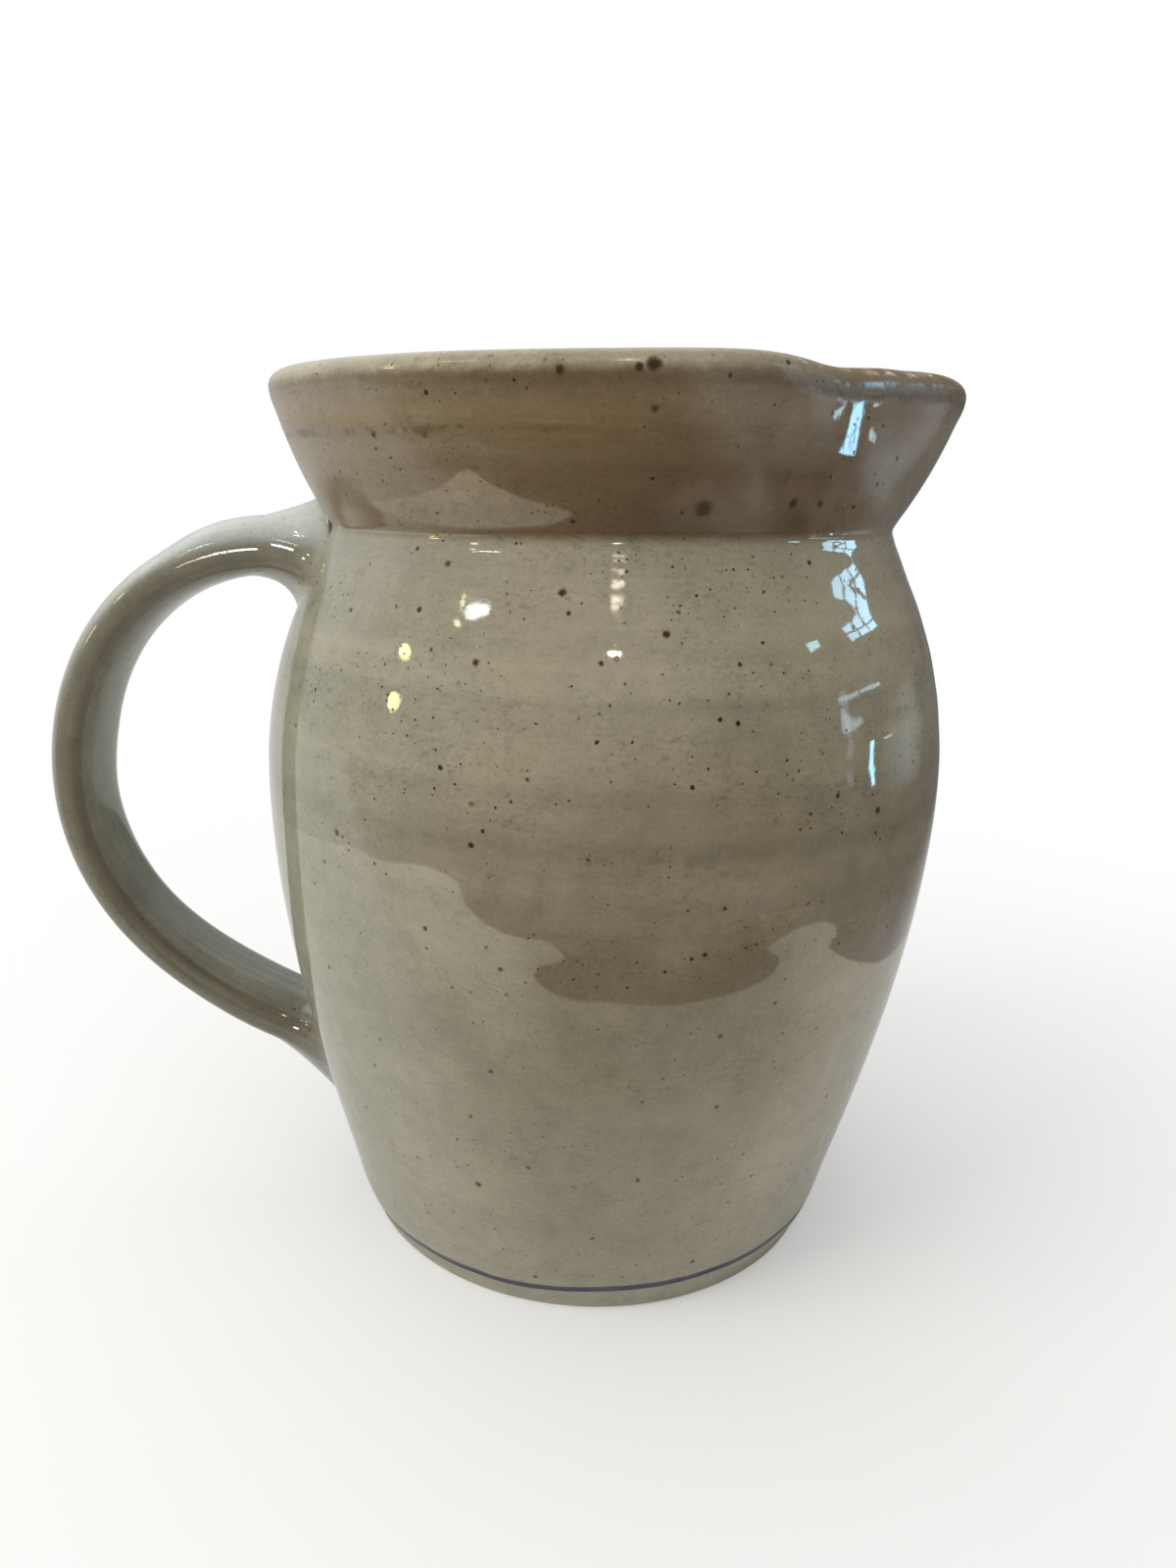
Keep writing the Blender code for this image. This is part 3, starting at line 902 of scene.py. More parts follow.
# %% [markdown]
# ## Iron specks
# Stoneware clay holds grains of iron that melt through the glaze in the kiln: many pin-point specks, some
# freckles, and a few rusty spots with a soft halo. The small ones come from Voronoi cells, one grain to a
# cell, where only some cells keep theirs. The large rusty spots are few and each has its own place, in
# degrees from the front and millimetres up, and its own radius in millimetres.

# %% Specks and spots
RUSTY_SPOTS = [
    (14.4, 166.7, 1.7), (4.7, 188.3, 1.3), (3.0, 187.7, 0.8), (30.4, 168.1, 1.1), (36.5, 168.1, 0.9),
    (-36.2, 177.1, 0.8), (-26.9, 177.0, 0.8), (-6.7, 152.4, 0.75), (8.8, 146.3, 0.75), (-18.3, 140.3, 0.7),
    (-40.1, 106.1, 0.75), (43.4, 113.4, 0.75), (-17.1, 116.8, 0.7), (-6.7, 186.9, 0.8), (5.3, 181.8, 0.8),
    (-26.8, 156.0, 0.65), (-19.5, 33.8, 0.8), (150.0, 172.0, 1.5), (-130.0, 180.0, 1.2), (170.0, 140.0, 1.1),
    (-150.0, 120.0, 1.0), (120.0, 150.0, 1.2), (-110.0, 60.0, 0.9), (95.0, 120.0, 0.9),
]
SPOT_FAR = 0.2


def spot_place(turned, height):
    """The point of the wall at an angle from the front and a height in millimetres."""
    away = Vector((math.sin(math.radians(turned)), -math.cos(math.radians(turned)), 0.0))
    return body.ray_cast(away * SPOT_FAR + Vector((0.0, 0.0, height / 1000)), -away)[1]


def specks(place, cell, share, smallest, largest, soft):
    """Grains in Voronoi cells of a size, kept in a share of the cells, between two radii, all in metres."""
    cells = add_node(place.tree, "ShaderNodeTexVoronoi", {}, {"Vector": place, "Scale": 1 / cell})
    pick, size, _ = Signal(cells.outputs["Color"]).apart()
    radius = (size * size * (largest - smallest) + smallest) / cell
    grain = ((radius - Signal(cells.outputs["Distance"])) / (soft / cell)).least(1.0).most(0.0)
    return grain * (pick > 1 - share)


def rusty(place):
    """Distance to the nearest rusty spot, in radii of that spot."""
    nearest = None
    for turned, height, size in RUSTY_SPOTS:
        sockets = {0: place, 1: spot_place(turned, height)}
        share = place.node("ShaderNodeVectorMath", {"operation": "DISTANCE"}, sockets, "Value") / (size / 1000)
        nearest = share if nearest is None else nearest.least(share)
    return nearest


print(len(RUSTY_SPOTS), "rusty spots")

# %% [markdown]
# ## Glaze and painted reflection on the wall
# The glaze is a pale grey. Above the wavy line it is painted browner and darker, laid out as a second dip,
# and this contrast is painted reflection of a dark room above the line and a bright table below it. Above the
# line the wall is painted lighter near the shoulder, where the ceiling mirrors, and darker low down. The lower
# front is painted darker, a painted reflection of the pot's own shadow on the table, except in a band along
# the line on the handle side. All layers read the same noises, from clouds two fingers wide down to grain, so
# these are gathered once for all of them.

# %% Glaze the wall
# Glaze colours with painted reflection in them: pale below the line, darker at the lower front, light to dark
# above.
PALE_GLAZE_AND_REFLECTION = (0.312, 0.284, 0.207)
PAINTED_SHADOW_REFLECTION = (0.170, 0.146, 0.096)
UPPER_PAINTED_LIGHT = (0.275, 0.245, 0.170)
UPPER_PAINTED_DARK = (0.146, 0.114, 0.070)
GREEN_GREY = (0.218, 0.220, 0.164)


def read_wall(place):
    """What the layers of the glaze read: the place on the wall, the kept numbers and the noises."""
    wall = SimpleNamespace(place=place)
    wall.x, wall.y, wall.z = place.apart()
    wall.dip, wall.leaf, wall.thrown = place.kept("dip"), place.kept("leaf"), place.kept("thrown")
    wall.inside = place.kept("inside")
    wall.cloud = place.noise(26.0)
    wall.bloom = place.noise(75.0, 4.0, 0.6)
    wall.mottle = place.noise(210.0, 4.0, 0.65)
    wall.fine = place.noise(1300.0, 3.0, 0.7)
    wall.streak = place.stretch(6.0, 6.0, 140.0).noise(1.0, 5.0, 0.65)
    wall.edge = wall.dip.stray(wall.mottle, 0.0010)
    wall.to_spout = wall.x.stray(wall.cloud, 0.02).rise(-0.060, 0.0)
    return wall


def two_dips(wall):
    """The glaze with painted reflection darker above the line and paler below, and a green-grey cast to the
    handle.
    """
    x, dip = wall.x, wall.dip
    # A band below the line on the handle side where the painted shade of the lower front is left out.
    shade_free = (dip.rise(-0.030, -0.006) * x.rise(0.004, -0.028)).most(dip.rise(-0.016, -0.004) * 0.2)
    shade_free = shade_free.most(x.rise(0.004, -0.010) * 0.10)
    # Painted shade: the lower front is darker, a painted reflection of the pot's shadow on the table.
    warm = wall.y.stray(wall.cloud, 0.010).rise(-0.050, -0.075) * (1 - 0.9 * shade_free)
    # Painted reflection above the line: lighter high up, where the ceiling mirrors, and darker low down.
    level = (wall.z - x.least(0.0) * 0.26).stray(wall.cloud, 0.02)
    light = level.rise(0.083, 0.102) * 0.33 + level.rise(0.110, 0.138) * 0.67
    second = light.tint(UPPER_PAINTED_DARK, UPPER_PAINTED_LIGHT)
    colour = wall.edge.rise(-0.0004, 0.0004).tint(warm.tint(PALE_GLAZE_AND_REFLECTION, PAINTED_SHADOW_REFLECTION), second)
    return colour.coat(GREEN_GREY, x.rise(-0.012, -0.060) * 0.65)


print("wall glaze written; its dip line goes through", len(PAINTED_REFLECTION_EDGE), "places")

# %% [markdown]
# ## The collar
# The collar was dipped longest and is the brownest part, streaked sideways by the wheel, ochre above the
# crease, with one brushed stain under the lip and a purple shade in the hollow. A grey veil over the right of
# the collar and the spout is painted reflection of a hazy window.
# Each is a plain colour coated over the last, with a share that fades along the collar or up it.

# %% Glaze the collar
COLLAR_LIGHT = (0.190, 0.152, 0.097)
COLLAR_BROWN = (0.122, 0.079, 0.037)
COLLAR_PURPLE = (0.092, 0.058, 0.029)
PAINTED_HAZE_REFLECTION = (0.190, 0.160, 0.120)
OCHRE = (0.130, 0.078, 0.028)
OCHRE_LIGHT = (0.205, 0.138, 0.056)
STAIN = (0.085, 0.052, 0.022)
SPOUT_PAINTED_HAZE = (0.180, 0.146, 0.106)
PAINTED_LEAF_REFLECTION = (0.234, 0.190, 0.124)
LIP_PALE_AND_HIGHLIGHT = (0.388, 0.348, 0.236)


def collar_glaze(wall):
    """The streaked brown of the collar, with its bands and blooms and a painted grey haze reflection."""
    x, thrown, bloom, streak = wall.x, wall.thrown, wall.bloom, wall.streak
    brown = wall.to_spout * 0.75 + (streak - 0.5) * 1.3 + (bloom - 0.5) * 0.8
    collar = brown.rise(-0.1, 0.9).tint(COLLAR_LIGHT, COLLAR_BROWN)
    ochre = thrown.rise(NECK_HEIGHT + 0.009, NECK_HEIGHT + 0.002) * wall.to_spout * x.rise(0.035, 0.01)
    collar = collar.coat(OCHRE, ochre * (0.2 + bloom * 0.9))
    band = thrown.stripe(RIM_HEIGHT - 0.0105, 0.0042, 0.0005) * x.rise(0.020, -0.020)
    collar = collar.coat(OCHRE_LIGHT, band * streak.rise(0.35, 0.60) * 0.8)
    stroke = thrown.stray(bloom, 0.0012).stripe(RIM_HEIGHT - 0.0118, 0.0011, 0.0002) * x.rise(0.010, -0.020)
    collar = collar.coat(STAIN, stroke * wall.mottle.rise(0.38, 0.60) * 0.9)
    # Painted reflection of a hazy window: a grey veil over the right of the collar and the spout.
    painted_haze = x.rise(0.010, 0.022) * x.rise(0.046, 0.032)
    painted_haze = painted_haze * thrown.rise(NECK_HEIGHT + 0.004, NECK_HEIGHT + 0.013)
    collar = collar.coat(PAINTED_HAZE_REFLECTION, painted_haze * (0.25 + bloom * 0.6))
    collar = collar.coat(SPOUT_PAINTED_HAZE, x.rise(0.038, 0.052) * 0.8)
    purple = x.rise(-0.020, 0.010) * x.rise(0.055, 0.035)
    purple = purple * thrown.rise(RIM_HEIGHT - 0.011, RIM_HEIGHT - 0.020)
    return collar.coat(COLLAR_PURPLE, purple * (0.45 + bloom * 0.8))


def with_collar(wall, colour):
    """The collar's glaze over the wall's from the crease up, a painted crease highlight and the painted leaf
    reflection.
    """
    wall.collared = wall.thrown.stray(wall.mottle, 0.0012).rise(NECK_HEIGHT - 0.0016, NECK_HEIGHT + 0.0010)
    colour = colour.coat(collar_glaze(wall), wall.collared)
    # Painted highlight: a thin pale line along the neck crease on the handle side.
    painted_crease_highlight = wall.thrown.stripe(NECK_HEIGHT, 0.0003, 0.0001) * wall.x.rise(-0.016, -0.030)
    colour = colour.coat(LIP_PALE_AND_HIGHLIGHT, painted_crease_highlight * 0.35)
    # Painted reflection of the table's corner: a pale leaf on the collar.
    return colour.coat(PAINTED_LEAF_REFLECTION, wall.leaf.stray(wall.mottle, 0.0006).rise(-0.0003, 0.0004) * 0.8)


print("collar glaze written, from", round(1000 * NECK_HEIGHT, 1), "mm up")

# %% [markdown]
# ## Lip, inside and foot
# Glaze runs thin over the lip and breaks to the colour of the clay, browner at the spout. Its pale front is
# partly broken glaze and partly painted reflection of the ceiling.
# Inside it is poured. At the foot it is wiped off, and a thin slate line was brushed round where it ends, not
# quite level and not quite even.

# %% Glaze the lip and wipe the foot
LIP_BROWN = (0.175, 0.112, 0.042)
LIP_EDGE = (0.105, 0.068, 0.034)
INSIDE = (0.250, 0.222, 0.155)
BARE_CLAY = (0.320, 0.295, 0.225)
SLATE = (0.032, 0.032, 0.066)
SLATE_HEIGHT = 0.0068
SLATE_TILT = 0.030
SLATE_WIDTH = 0.0009


def with_lip(wall, colour):
    """The lip's broken glaze and painted reflection, the dark edge under it, and the poured inside."""
    edge = wall.thrown.stray(wall.bloom, 0.002).stripe(RIM_HEIGHT - 0.0046, 0.0011, 0.0002)
    colour = colour.coat(LIP_EDGE, edge * wall.to_spout * 0.5)
    wall.lip = wall.thrown.stray(wall.mottle, 0.0016).rise(RIM_HEIGHT - 0.0038, RIM_HEIGHT - 0.0018)
    # The pale front of the lip is partly broken glaze and partly painted reflection of the ceiling.
    lip_glaze_and_reflection = wall.x.rise(0.010, 0.045).tint(LIP_PALE_AND_HIGHLIGHT, LIP_BROWN)
    colour = colour.coat(lip_glaze_and_reflection, wall.lip * (0.6 + wall.bloom * 0.5))
    return colour.coat(INSIDE, wall.inside * (1 - wall.lip))


def with_foot(wall, colour):
    """Bare clay at the foot, and the slate line over its edge."""
    line = (SLATE_HEIGHT + wall.x * SLATE_TILT).stray(wall.place.noise(40.0, 2.0), 0.0022)
    above = wall.z - line
    wall.wiped = above.rise(0.0004, -0.0004)
    colour = colour.coat(BARE_CLAY, wall.wiped * (1 - wall.inside))
    brushed = above.stripe(0.0, SLATE_WIDTH * 1.1, SLATE_WIDTH * 0.7) * (0.75 + 0.4 * wall.place.noise(160.0))
    return colour.coat(SLATE, brushed * (1 - wall.inside))


print("slate line:", 1000 * SLATE_WIDTH, "mm wide,", 1000 * SLATE_HEIGHT, "mm up")

# %% [markdown]
# ## Specks over the glaze
# More iron shows above the wavy line than below it, and specks lie in clusters with smudges between them. A
# grain is dark in the middle with a rusty ring, and a large spot has a soft halo. Places are shaken a little
# before they are read, so that no grain is a perfect disc.

# %% Scatter the specks
LILAC = (0.225, 0.195, 0.150)
SMUDGE = (0.050, 0.041, 0.028)
GRAIN = (0.012, 0.009, 0.006)
GRAIN_RING = (0.090, 0.058, 0.026)
RUST = (0.026, 0.014, 0.005)
RUST_BROWN = (0.036, 0.020, 0.008)
RUST_HALO = (0.085, 0.050, 0.020)
FRECKLES = (0.0036, 0.75, 0.00026, 0.00066, 0.00032)
GRAINS = (0.0013, 0.65, 0.00013, 0.00036, 0.00020)
RAGGED_SCALE = 2600.0


def with_specks(wall, colour):
    """A lilac bloom, smudges, freckles, grains and the large rusty spots."""
    place = wall.place
    colour = colour.coat(LILAC, place.noise(38.0, 3.0).rise(0.50, 0.72) * 0.30)
    dense = 0.40 + 0.60 * wall.edge.rise(-0.004, 0.004)
    clustered = place.stretch(40.0, 40.0, 95.0).noise(1.0, 3.0).rise(0.40, 0.58)
    smudge = place.stretch(550.0, 550.0, 900.0).noise(1.0, 4.0, 0.75).rise(0.50, 0.70)
    colour = colour.coat(SMUDGE, smudge * clustered * dense * 0.36)
    ragged = place.shaken(RAGGED_SCALE, 0.0006)
    speckled = specks(ragged, *FRECKLES).most(specks(ragged, *GRAINS) * clustered) * dense
    colour = colour.coat(GRAIN_RING, speckled.rise(0.0, 0.35)).coat(GRAIN, speckled.rise(0.35, 0.85) * 0.85)
    spots = rusty(ragged).stray(wall.mottle, 1.1)
    core = spots.rise(0.90, 0.55)
    wall.marks = speckled.most(core)
    colour = colour.coat(RUST_HALO, spots.rise(1.3, 0.8) * 0.8)
    return colour.coat(wall.collared.tint(RUST, RUST_BROWN), core * (0.6 + wall.fine * 0.6))


print("freckles up to", 2000 * FRECKLES[3], "mm wide, grains up to", 2000 * GRAINS[3], "mm")

# %% [markdown]
# ## The whole glaze of the pot
# The layers are laid one over the other, and the sum of all noises makes the tone uneven, as a fired glaze
# is. Soft light and dark bands along the throwing rings are painted shade of their ridges. The gloss is a
# mirror's nearly everywhere, and duller only on bare clay, specks, the dry glaze at the spout's lip and a
# smeared place on the collar. Very shallow waves in the surface break the highlights.

# %% Mix the pot's glaze
GLAZE_ROUGHNESS = 0.03
UNEVEN_GLOSS = 0.03
GLAZE_WAVES = ((70.0, 0.00008), (260.0, 0.00001), (520.0, 0.000003))


def pot_colour(place):
    """Colour of the glazed wall, how dull it is, and its fine relief."""
    wall = read_wall(place)
    colour = with_specks(wall, with_foot(wall, with_lip(wall, with_collar(wall, two_dips(wall)))))
    x, thrown, fine = wall.x, wall.thrown, wall.fine
    lines = place.stretch(220.0, 220.0, 1500.0).noise(1.0, 2.0, 0.6)
    # Painted shade: soft light and dark bands along the throwing rings and their ridges.
    painted_ring_bands = place.stretch(5.0, 5.0, 60.0).noise(1.0, 2.0)
    painted_ridge_shade = (place.stretch(2.0, 2.0, 130.0).noise(1.0, 2.0) - 0.5) * wall.z.rise(0.080, 0.110)
    tone = 0.05 + painted_ridge_shade * 0.75 + wall.cloud * 0.22 + wall.bloom * 0.34 + wall.mottle * 0.38
    tone = tone + fine * 0.50 + lines * 0.20 + painted_ring_bands * 0.30
    smeared = thrown.rise(NECK_HEIGHT, NECK_HEIGHT + 0.001) * x.rise(-0.038, -0.048)
    dry = thrown.rise(RIM_HEIGHT - 0.0065, RIM_HEIGHT - 0.0045) * x.rise(0.015, 0.035)
    dry = dry * (0.35 + 0.65 * wall.mottle.rise(0.42, 0.55)) * (1 - wall.inside)
    dull = dry * 0.5 + wall.marks * 0.04 + wall.wiped * 0.55 + smeared * 0.16 + wall.lip * 0.08
    relief = fine * (wall.wiped * 0.00006 + 0.000003) - wall.marks * 0.00003
    return colour.shade(tone), dull, relief


def finish_glaze(shader, place, colour, dull, relief):
    """Feed the colour, gloss and surface of a glaze to its shader."""
    roughness = place.noise(210.0, 4.0, 0.65) * UNEVEN_GLOSS + GLAZE_ROUGHNESS + dull
    waves = sum(place.noise(scale, 2.0) * height for scale, height in GLAZE_WAVES)
    bump = place.node("ShaderNodeBump", {}, {"Height": waves + relief, "Distance": 1.0, "Strength": 1.0})
    for name, signal in (("Base Color", colour), ("Roughness", roughness), ("Normal", bump)):
        place.tree.links.new(signal.socket, shader.inputs[name])


def wear(glaze, *pieces):
    """Give pieces one material in place of any other."""
    for piece in pieces:
        piece.data.materials.clear()
        piece.data.materials.append(glaze)


pot_glaze, shader, place = new_material("pot_glaze")
finish_glaze(shader, place, *pot_colour(place))
wear(pot_glaze, body)
print("pot glaze:", len(pot_glaze.node_tree.nodes), "nodes")

# %% [markdown]
# ## The glaze of the strap
# On the handle the same glaze lies thinner and went grey-green. A dark brown band along both edges of the
# strap is painted reflection and shade of the dark room in front, with a sharp limit towards the inner face,
# and the outer face near the top and the inner face are painted lighter as reflection of a bright room.
# Pulling left it streaked lengthwise. The joints change from the wall's glaze to the strap's, so theirs is
# made of both.

# %% Mix the glaze of the strap and the joints
STRAP_PALE = (0.202, 0.195, 0.146)
# Painted reflection: light on the strap's faces and dark along its edges.
STRAP_PAINTED_LIGHT_REFLECTION = (0.445, 0.470, 0.425)
STRAP_PAINTED_DARK_REFLECTION = (0.138, 0.116, 0.080)
STRAP_FRECKLES = (0.0038, 0.6, 0.00020, 0.00055, 0.00020)
STRAP_GRAINS = (0.0015, 0.6, 0.00010, 0.00028, 0.00014)


def strap_colour(place):
    """Strap colour with painted reflection, light on the faces and dark on the edges; its dullness and fine
    relief.
    """
    turned, along = place.kept("turned"), place.kept("along")
    cloud = place.noise(45.0)
    mottle = place.noise(230.0, 4.0, 0.6)
    fine = place.noise(1500.0, 2.0, 0.6)
    edge = turned.stray(mottle, 0.02)
    # Painted reflection and shade: a dark brown band along both edges, with a sharp limit towards the inner
    # face.
    brown = edge.rise(0.24, 0.50) * edge.rise(0.715, 0.695) * (0.45 + 0.4 * edge.rise(0.50, 0.68))
    # Painted reflection: the outer face lighter near the top, and the inner face a little lighter.
    light = (edge.rise(0.50, 0.30) * along.rise(0.50, 0.15)).most(edge.rise(0.72, 0.80) * 0.15)
    colour = light.tint(STRAP_PALE, STRAP_PAINTED_LIGHT_REFLECTION).coat(STRAP_PAINTED_DARK_REFLECTION, brown)
    ragged = place.shaken(RAGGED_SCALE, 0.0008)
    speckled = specks(ragged, *STRAP_FRECKLES).most(specks(ragged, *STRAP_GRAINS) * cloud.rise(0.42, 0.62))
    pulled = place.node("ShaderNodeCombineXYZ", {}, {0: turned * 14.0, 1: along * 4.0})
    streak = pulled.noise(1.0, 4.0, 0.65)
    tone = (0.30 + cloud * 0.45 + mottle * 0.50 + fine * 0.45) * (1 - 0.23 * along.rise(0.50, 0.80))
    tone = tone * (1 + (streak - 0.5) * (0.3 + 0.9 * along.rise(0.40, 0.75)))
    return colour.coat(GRAIN, speckled * 0.8).shade(tone), speckled * 0.04, speckled * -0.00003


strap_glaze, shader, place = new_material("strap_glaze")
finish_glaze(shader, place, *strap_colour(place))
wear(strap_glaze, strap)
joint_glaze, shader, place = new_material("joint_glaze")
colour, dull, relief = pot_colour(place)
colour = colour.coat(strap_colour(place)[0], place.kept("onto_strap").rise(0.1, 0.8))
finish_glaze(shader, place, colour, dull, relief)
wear(joint_glaze, upper_joint, lower_joint)
print("strap glaze:", len(strap_glaze.node_tree.nodes), "nodes; joint glaze:", len(joint_glaze.node_tree.nodes))

# %% [markdown]
# ## Floor
# The pot stands on a plain white floor that fades into a white room and keeps its soft shadow. A glossy glaze
# is a mirror first, and a white floor all round would bleach its lower half, so the floor shows darker to
# glossy rays in front and to the right. Light Path tells which ray is asking.

# %% Lay the floor
FLOOR_DROP = 0.0001
FLOOR_SIZE = 8.0
FLOOR_COLOUR = (0.86, 0.86, 0.85, 1.0)
FADE_TO_WHITE = (0.07, 0.42)
LEAST_WHITE = 0.25
FLOOR_ROUGHNESS = 0.9
MIRRORED_GLOW = 0.10
DARK_IN_FRONT = (-0.06, -0.16)
DARK_TO_RIGHT = (0.10, 0.30)
LEAST_DARK = 0.25
MOST_DARK = 0.92


def glow(start, strength, colour=(1.0, 1.0, 1.0)):
    """A plain light of its own."""
    return start.node("ShaderNodeEmission", {}, {"Color": (*colour, 1.0), "Strength": strength})


def surface(start, shown):
    """Make a shader the surface of its material."""
    start.tree.links.new(shown.socket, start.tree.nodes["Material Output"].inputs["Surface"])


bpy.ops.object.select_all(action="DESELECT")
bpy.ops.mesh.primitive_plane_add(size=FLOOR_SIZE, location=(0.0, 0.0, -FLOOR_DROP))
floor = bpy.context.object
floor.name = "floor"
floor_white, shader, place = new_material("floor_white")
shader.inputs["Base Color"].default_value = FLOOR_COLOUR
shader.inputs["Roughness"].default_value = FLOOR_ROUGHNESS
shader.inputs["Specular IOR Level"].default_value = 0.0
x, y, _ = place.apart()
rays = add_node(place.tree, "ShaderNodeLightPath", {}, {}).outputs
far = (x * x + y * y).sum("SQRT").rise(*FADE_TO_WHITE) * (1 - LEAST_WHITE) + LEAST_WHITE
dark = y.rise(*DARK_IN_FRONT).most(x.rise(*DARK_TO_RIGHT)).most(LEAST_DARK) * MOST_DARK
dark = dark * Signal(rays["Is Glossy Ray"])
dimmed = dark.blend(Signal(shader.outputs[0]), glow(place, MIRRORED_GLOW))
surface(place, (far * Signal(rays["Is Camera Ray"])).blend(dimmed, glow(place, 1.0)))
wear(floor_white, floor)
print("floor:", FLOOR_SIZE, "m across")

# %% [markdown]
# ## Room
# The room around is white to the camera. To the pot it is a soft light from above and from behind on the
# left, and dark to the right and behind the camera, which gives the wall its shade from left to right. The
# light overhead is dimmed where it would only mirror in the shoulder.

# %% Light the room
ROOM_GLOW = 0.10
LEFT_GLOW = 0.48
OVERHEAD_GLOW = 0.90
TO_BACK = 0.55
TO_LEFT = 0.83

room = bpy.data.worlds.new("white_room")
bpy.context.scene.world = room
room.use_nodes = True
aim = Signal(add_node(room.node_tree, "ShaderNodeTexCoord", {}, {}).outputs["Generated"])
x, y, z = aim.apart()
rays = add_node(room.node_tree, "ShaderNodeLightPath", {}, {}).outputs
overhead = OVERHEAD_GLOW * z.rise(0.0, 0.75) * (1 - 0.4 * x.rise(0.0, 0.8))
overhead = overhead * (1 - 0.85 * Signal(rays["Is Glossy Ray"]) * y.rise(0.3, -0.3))
strength = ROOM_GLOW + LEFT_GLOW * (y * TO_BACK - x * TO_LEFT).rise(-0.1, 0.8) + overhead
seen = Signal(rays["Is Camera Ray"])
background = room.node_tree.nodes["Background"]
background.inputs["Color"].default_value = (1.0, 1.0, 1.0, 1.0)
room.node_tree.links.new((strength * (1 - seen) + seen).socket, background.inputs["Strength"])
print("room lit from the left and from above")

# %% [markdown]
# ## Softboxes
# Two broad softboxes model the form, a strong one from the left and a weak one from the front right. They are
# hidden from reflections, because a glossy pot would show them as two hard white squares.

# %% Set the softboxes
POT_MIDDLE = Vector((0.0, 0.0, 0.10))
KEY = ("key_softbox", (-1.3, -0.7, 1.0), (1.0, 1.0), 12.8, (1.0, 0.98, 0.94))
FILL = ("fill_softbox", (0.6, -1.3, 0.7), (1.0, 1.0), 2.2, (0.97, 0.98, 1.0))


def add_lamp(name, place, size, watts, colour, shape="RECTANGLE", roll=0.0):
    """A lamp that faces the pot, held level or rolled about its own axis."""
    bpy.ops.object.select_all(action="DESELECT")
    bpy.ops.object.light_add(type="AREA", location=place)
    lamp = bpy.context.object
    lamp.name = name
    aim = (POT_MIDDLE - Vector(place)).to_track_quat("-Z", "Y").to_matrix()
    lamp.rotation_euler = (aim @ Matrix.Rotation(math.radians(roll), 3, "Z")).to_euler()
    lamp.data.shape = shape
    lamp.data.size, lamp.data.size_y = size
    lamp.data.energy = watts
    lamp.data.color = colour
    return lamp


for softbox in (KEY, FILL):
    add_lamp(*softbox).visible_glossy = False
    print(softbox[0], "at", softbox[1])

# %% [markdown]
# ## Glints
# A glaze looks wet only when something small and bright mirrors in it. These lamps do the opposite of the
# softboxes: they light nothing and only mirror, as a cool window to the right, small lamps to the left and
# spots overhead. Each lamp's place was found by following a sight line from the camera to its highlight,
# mirroring it at the wall, and setting the lamp out along it.

# %% Set the glints
PANE_CORNER = (0.96, 0.07, 0.46)
PANE_PITCH = (0.11, 0.08)
PANE_SIZE = (0.09, 0.06)
PANE_WATTS = 0.18
PANE_BLUE = (0.42, 0.75, 1.0)
GLINTS = (
    ("window_sill", (1.0, -0.01, 0.28), (0.36, 0.03), 0.16, (0.58, 0.84, 1.0)),
    ("window_strip", (1.0, 0.03, 0.08), (0.03, 0.10), 0.19, (0.34, 0.72, 1.0)),
    ("window_dash", (1.0, 0.18, 0.11), (0.08, 0.02), 0.05, (0.65, 0.88, 1.0)),
    ("window_trail", (1.025, -0.15, 0.20), (0.05, 0.28), 0.06, (0.62, 0.82, 1.0)),
    ("window_side", (0.93, -0.25, 0.53), (0.09, 0.06), 0.20, (0.50, 0.90, 1.0)),
    ("warm_lamp_high", (-0.931, -0.301, 0.524), (0.09, 0.07), 0.32, (1.0, 0.92, 0.42), "ELLIPSE"),
    ("warm_lamp_low", (-0.972, -0.366, 0.335), (0.09, 0.08), 0.36, (1.0, 0.90, 0.42), "ELLIPSE"),
    ("warm_lamp_back", (0.55, 0.65, 0.73), (0.12, 0.06), 0.27, (1.0, 0.85, 0.55)),
    ("white_lamp", (-0.659, -0.534, 0.759), (0.150, 0.026), 0.22, (0.93, 0.98, 1.0), "ELLIPSE", 14.0),
)
WARM_DOTS = (
    ("warm_dot_high", (-0.721, -0.456, 0.749), (0.030, 0.022), 0.03, (1.0, 0.95, 0.60), "ELLIPSE"),
    ("warm_dot_low", (-0.737, -0.482, 0.710), (0.045, 0.025), 0.05, (1.0, 0.95, 0.60), "ELLIPSE"),
)
CEILING_SPOTS = ((34.7, 0.022), (44.1, 0.0026), (46.0, 0.0026), (48.5, 0.0016))
SPOTS_ROUND = (0.05, -0.065, 0.15)
SPOT_WIDTH = 0.06
SPOT_WATTS = 19.0
SPOT_YELLOW = (1.0, 0.94, 0.68)


def add_glint(*lamp):
    """A lamp that only mirrors in the glaze and lights nothing."""
    made = add_lamp(*lamp)
    made.visible_diffuse = False
    return made


x, y, z = PANE_CORNER
for row in range(2):
    for column in range(3):
        pane = (x, y + PANE_PITCH[0] * column, z + PANE_PITCH[1] * row)
        add_glint(f"window_pane_{row}_{column}", pane, PANE_SIZE, PANE_WATTS, PANE_BLUE)
for lamp in GLINTS:
    add_glint(*lamp)
x, y, z = SPOTS_ROUND
for step, (raised, tall) in enumerate(CEILING_SPOTS):
    spot = (x, y - math.cos(math.radians(raised)), z + math.sin(math.radians(raised)))
    add_glint(f"ceiling_spot_{step}", spot, (SPOT_WIDTH, tall), SPOT_WATTS * tall, SPOT_YELLOW)
for lamp in WARM_DOTS:
    add_glint(*lamp)

# %% [markdown]
# ## Glints of the handle alone
# The strap and its upper joint carry a highlight each that comes from the front left. Lamps there would mirror
# in the belly as well, so each is tied to its one piece by light linking.

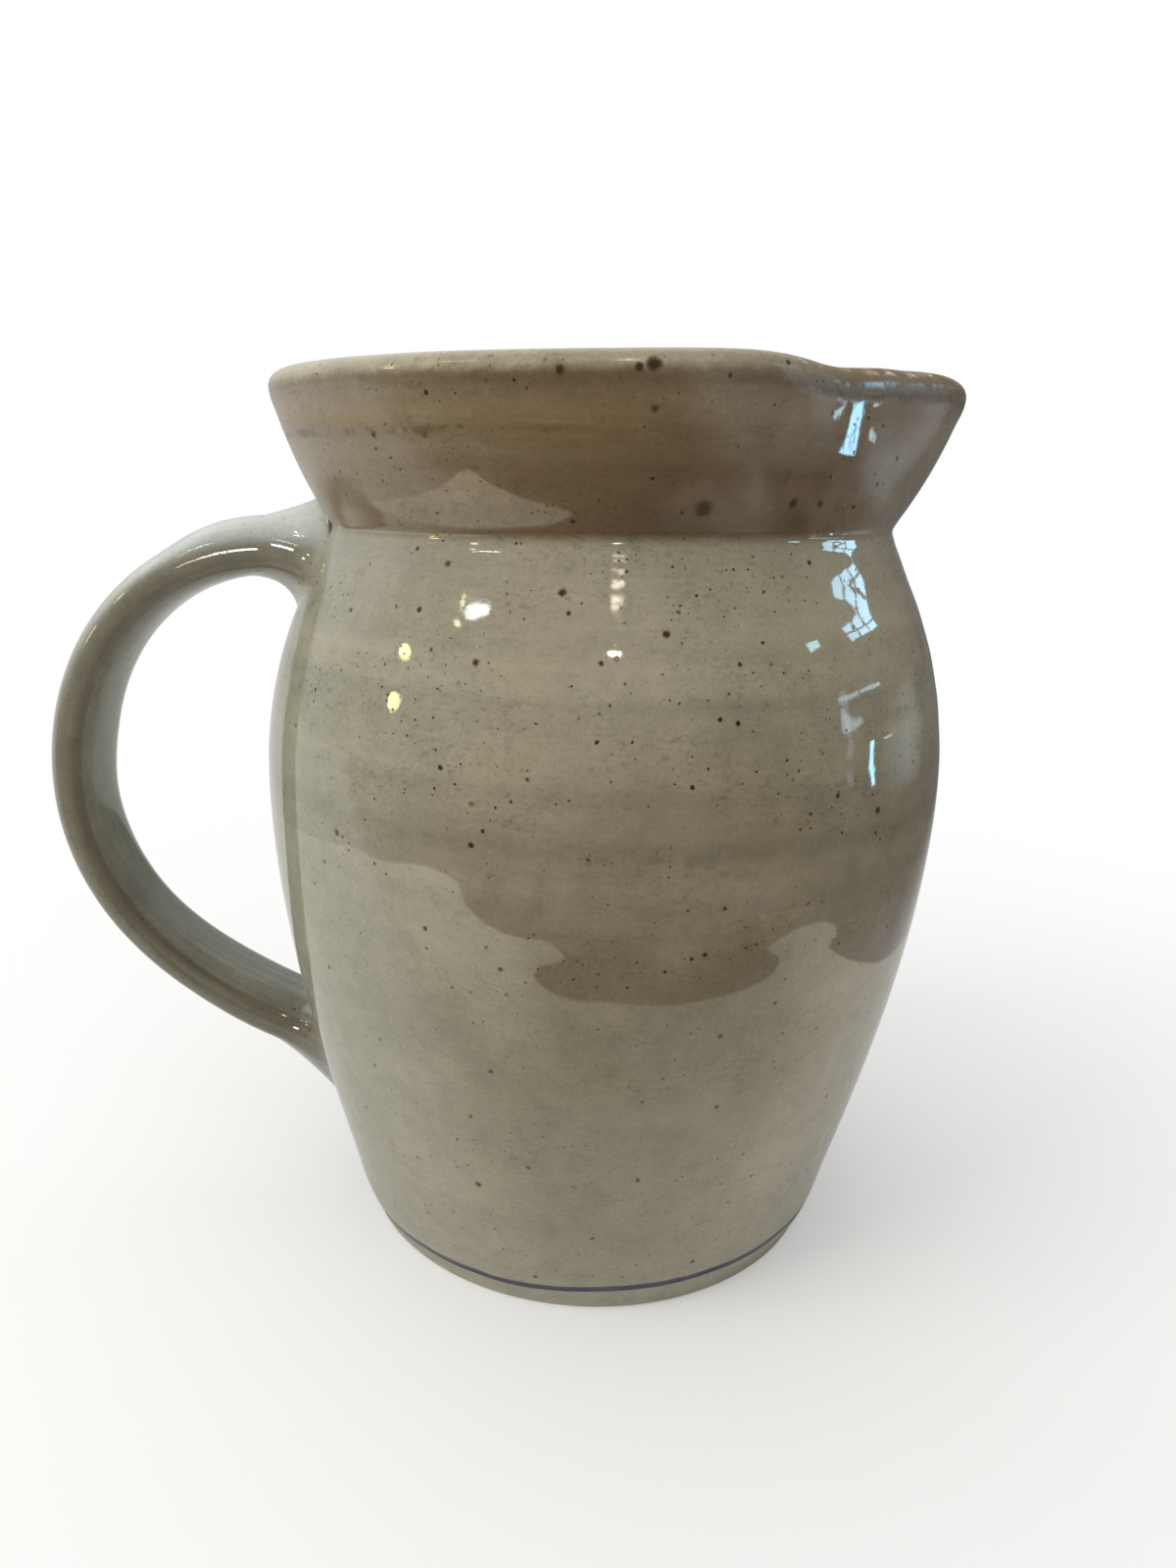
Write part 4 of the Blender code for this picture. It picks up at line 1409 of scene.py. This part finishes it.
# %% Tie two glints to the handle
STRAP_BARS = (
    ("strap_bar", (-0.420, -0.940, 0.160), (0.09, 0.15), 1.0, (1.0, 0.99, 0.95), strap),
    ("strap_bar_end", (-0.740, -0.670, 0.450), (0.24, 0.14), 2.6, (1.0, 0.99, 0.95), upper_joint),
)

for *lamp, piece in STRAP_BARS:
    linking = add_glint(*lamp).light_linking
    linking.receiver_collection = bpy.data.collections.new(lamp[0])
    linking.receiver_collection.objects.link(piece)
    print(lamp[0], "lights", piece.name)

# %% [markdown]
# ## Haze beside the window
# A window is not cut out of black: the wall round it glows too, which lays a soft blue veil over the right
# side of the pot. A lamp has hard edges, so this is a panel that glows in the middle and turns clear to its
# edges. Only reflections see it.

# %% Hang the haze
HAZE_PLACE = (0.5, 0.15, 0.10)
HAZE_SIZE = (0.18, 0.38, 1.0)
HAZE_BLUE = (0.74, 0.92, 1.0)
HAZE_GLOW = 0.9

bpy.ops.object.select_all(action="DESELECT")
bpy.ops.mesh.primitive_plane_add(size=1.0, location=HAZE_PLACE)
haze = bpy.context.object
haze.name = "window_haze"
haze.rotation_euler = (0.0, math.pi / 2, 0.0)
haze.scale = HAZE_SIZE
haze.visible_camera = haze.visible_diffuse = haze.visible_shadow = False
soft_light, _, place = new_material("soft_light")
x, y, _ = place.apart()
fade = x.stripe(0.0, 0.5, 0.1) * y.stripe(0.0, 0.5, 0.05)
clear = place.node("ShaderNodeBsdfTransparent", {}, {})
surface(place, fade.blend(clear, glow(place, HAZE_GLOW, HAZE_BLUE)))
wear(soft_light, haze)
bpy.context.scene.view_settings.view_transform = "Standard"
print("haze:", HAZE_SIZE[:2], "m")

# %% [markdown]
# ## Hand over
# Every finished piece rides on the imported model's one body and stands for the solid it covers, which is
# hidden.

# %% Tie the pieces to the frame
for piece, node, slot in ((body, "body", "body_glaze"), (strap, "handle", "handle_glaze"),
                          (upper_joint, "upper_handle_joint", "joint_glaze"),
                          (lower_joint, "lower_handle_joint", "joint_glaze")):
    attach(piece, "root")
    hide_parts(node)
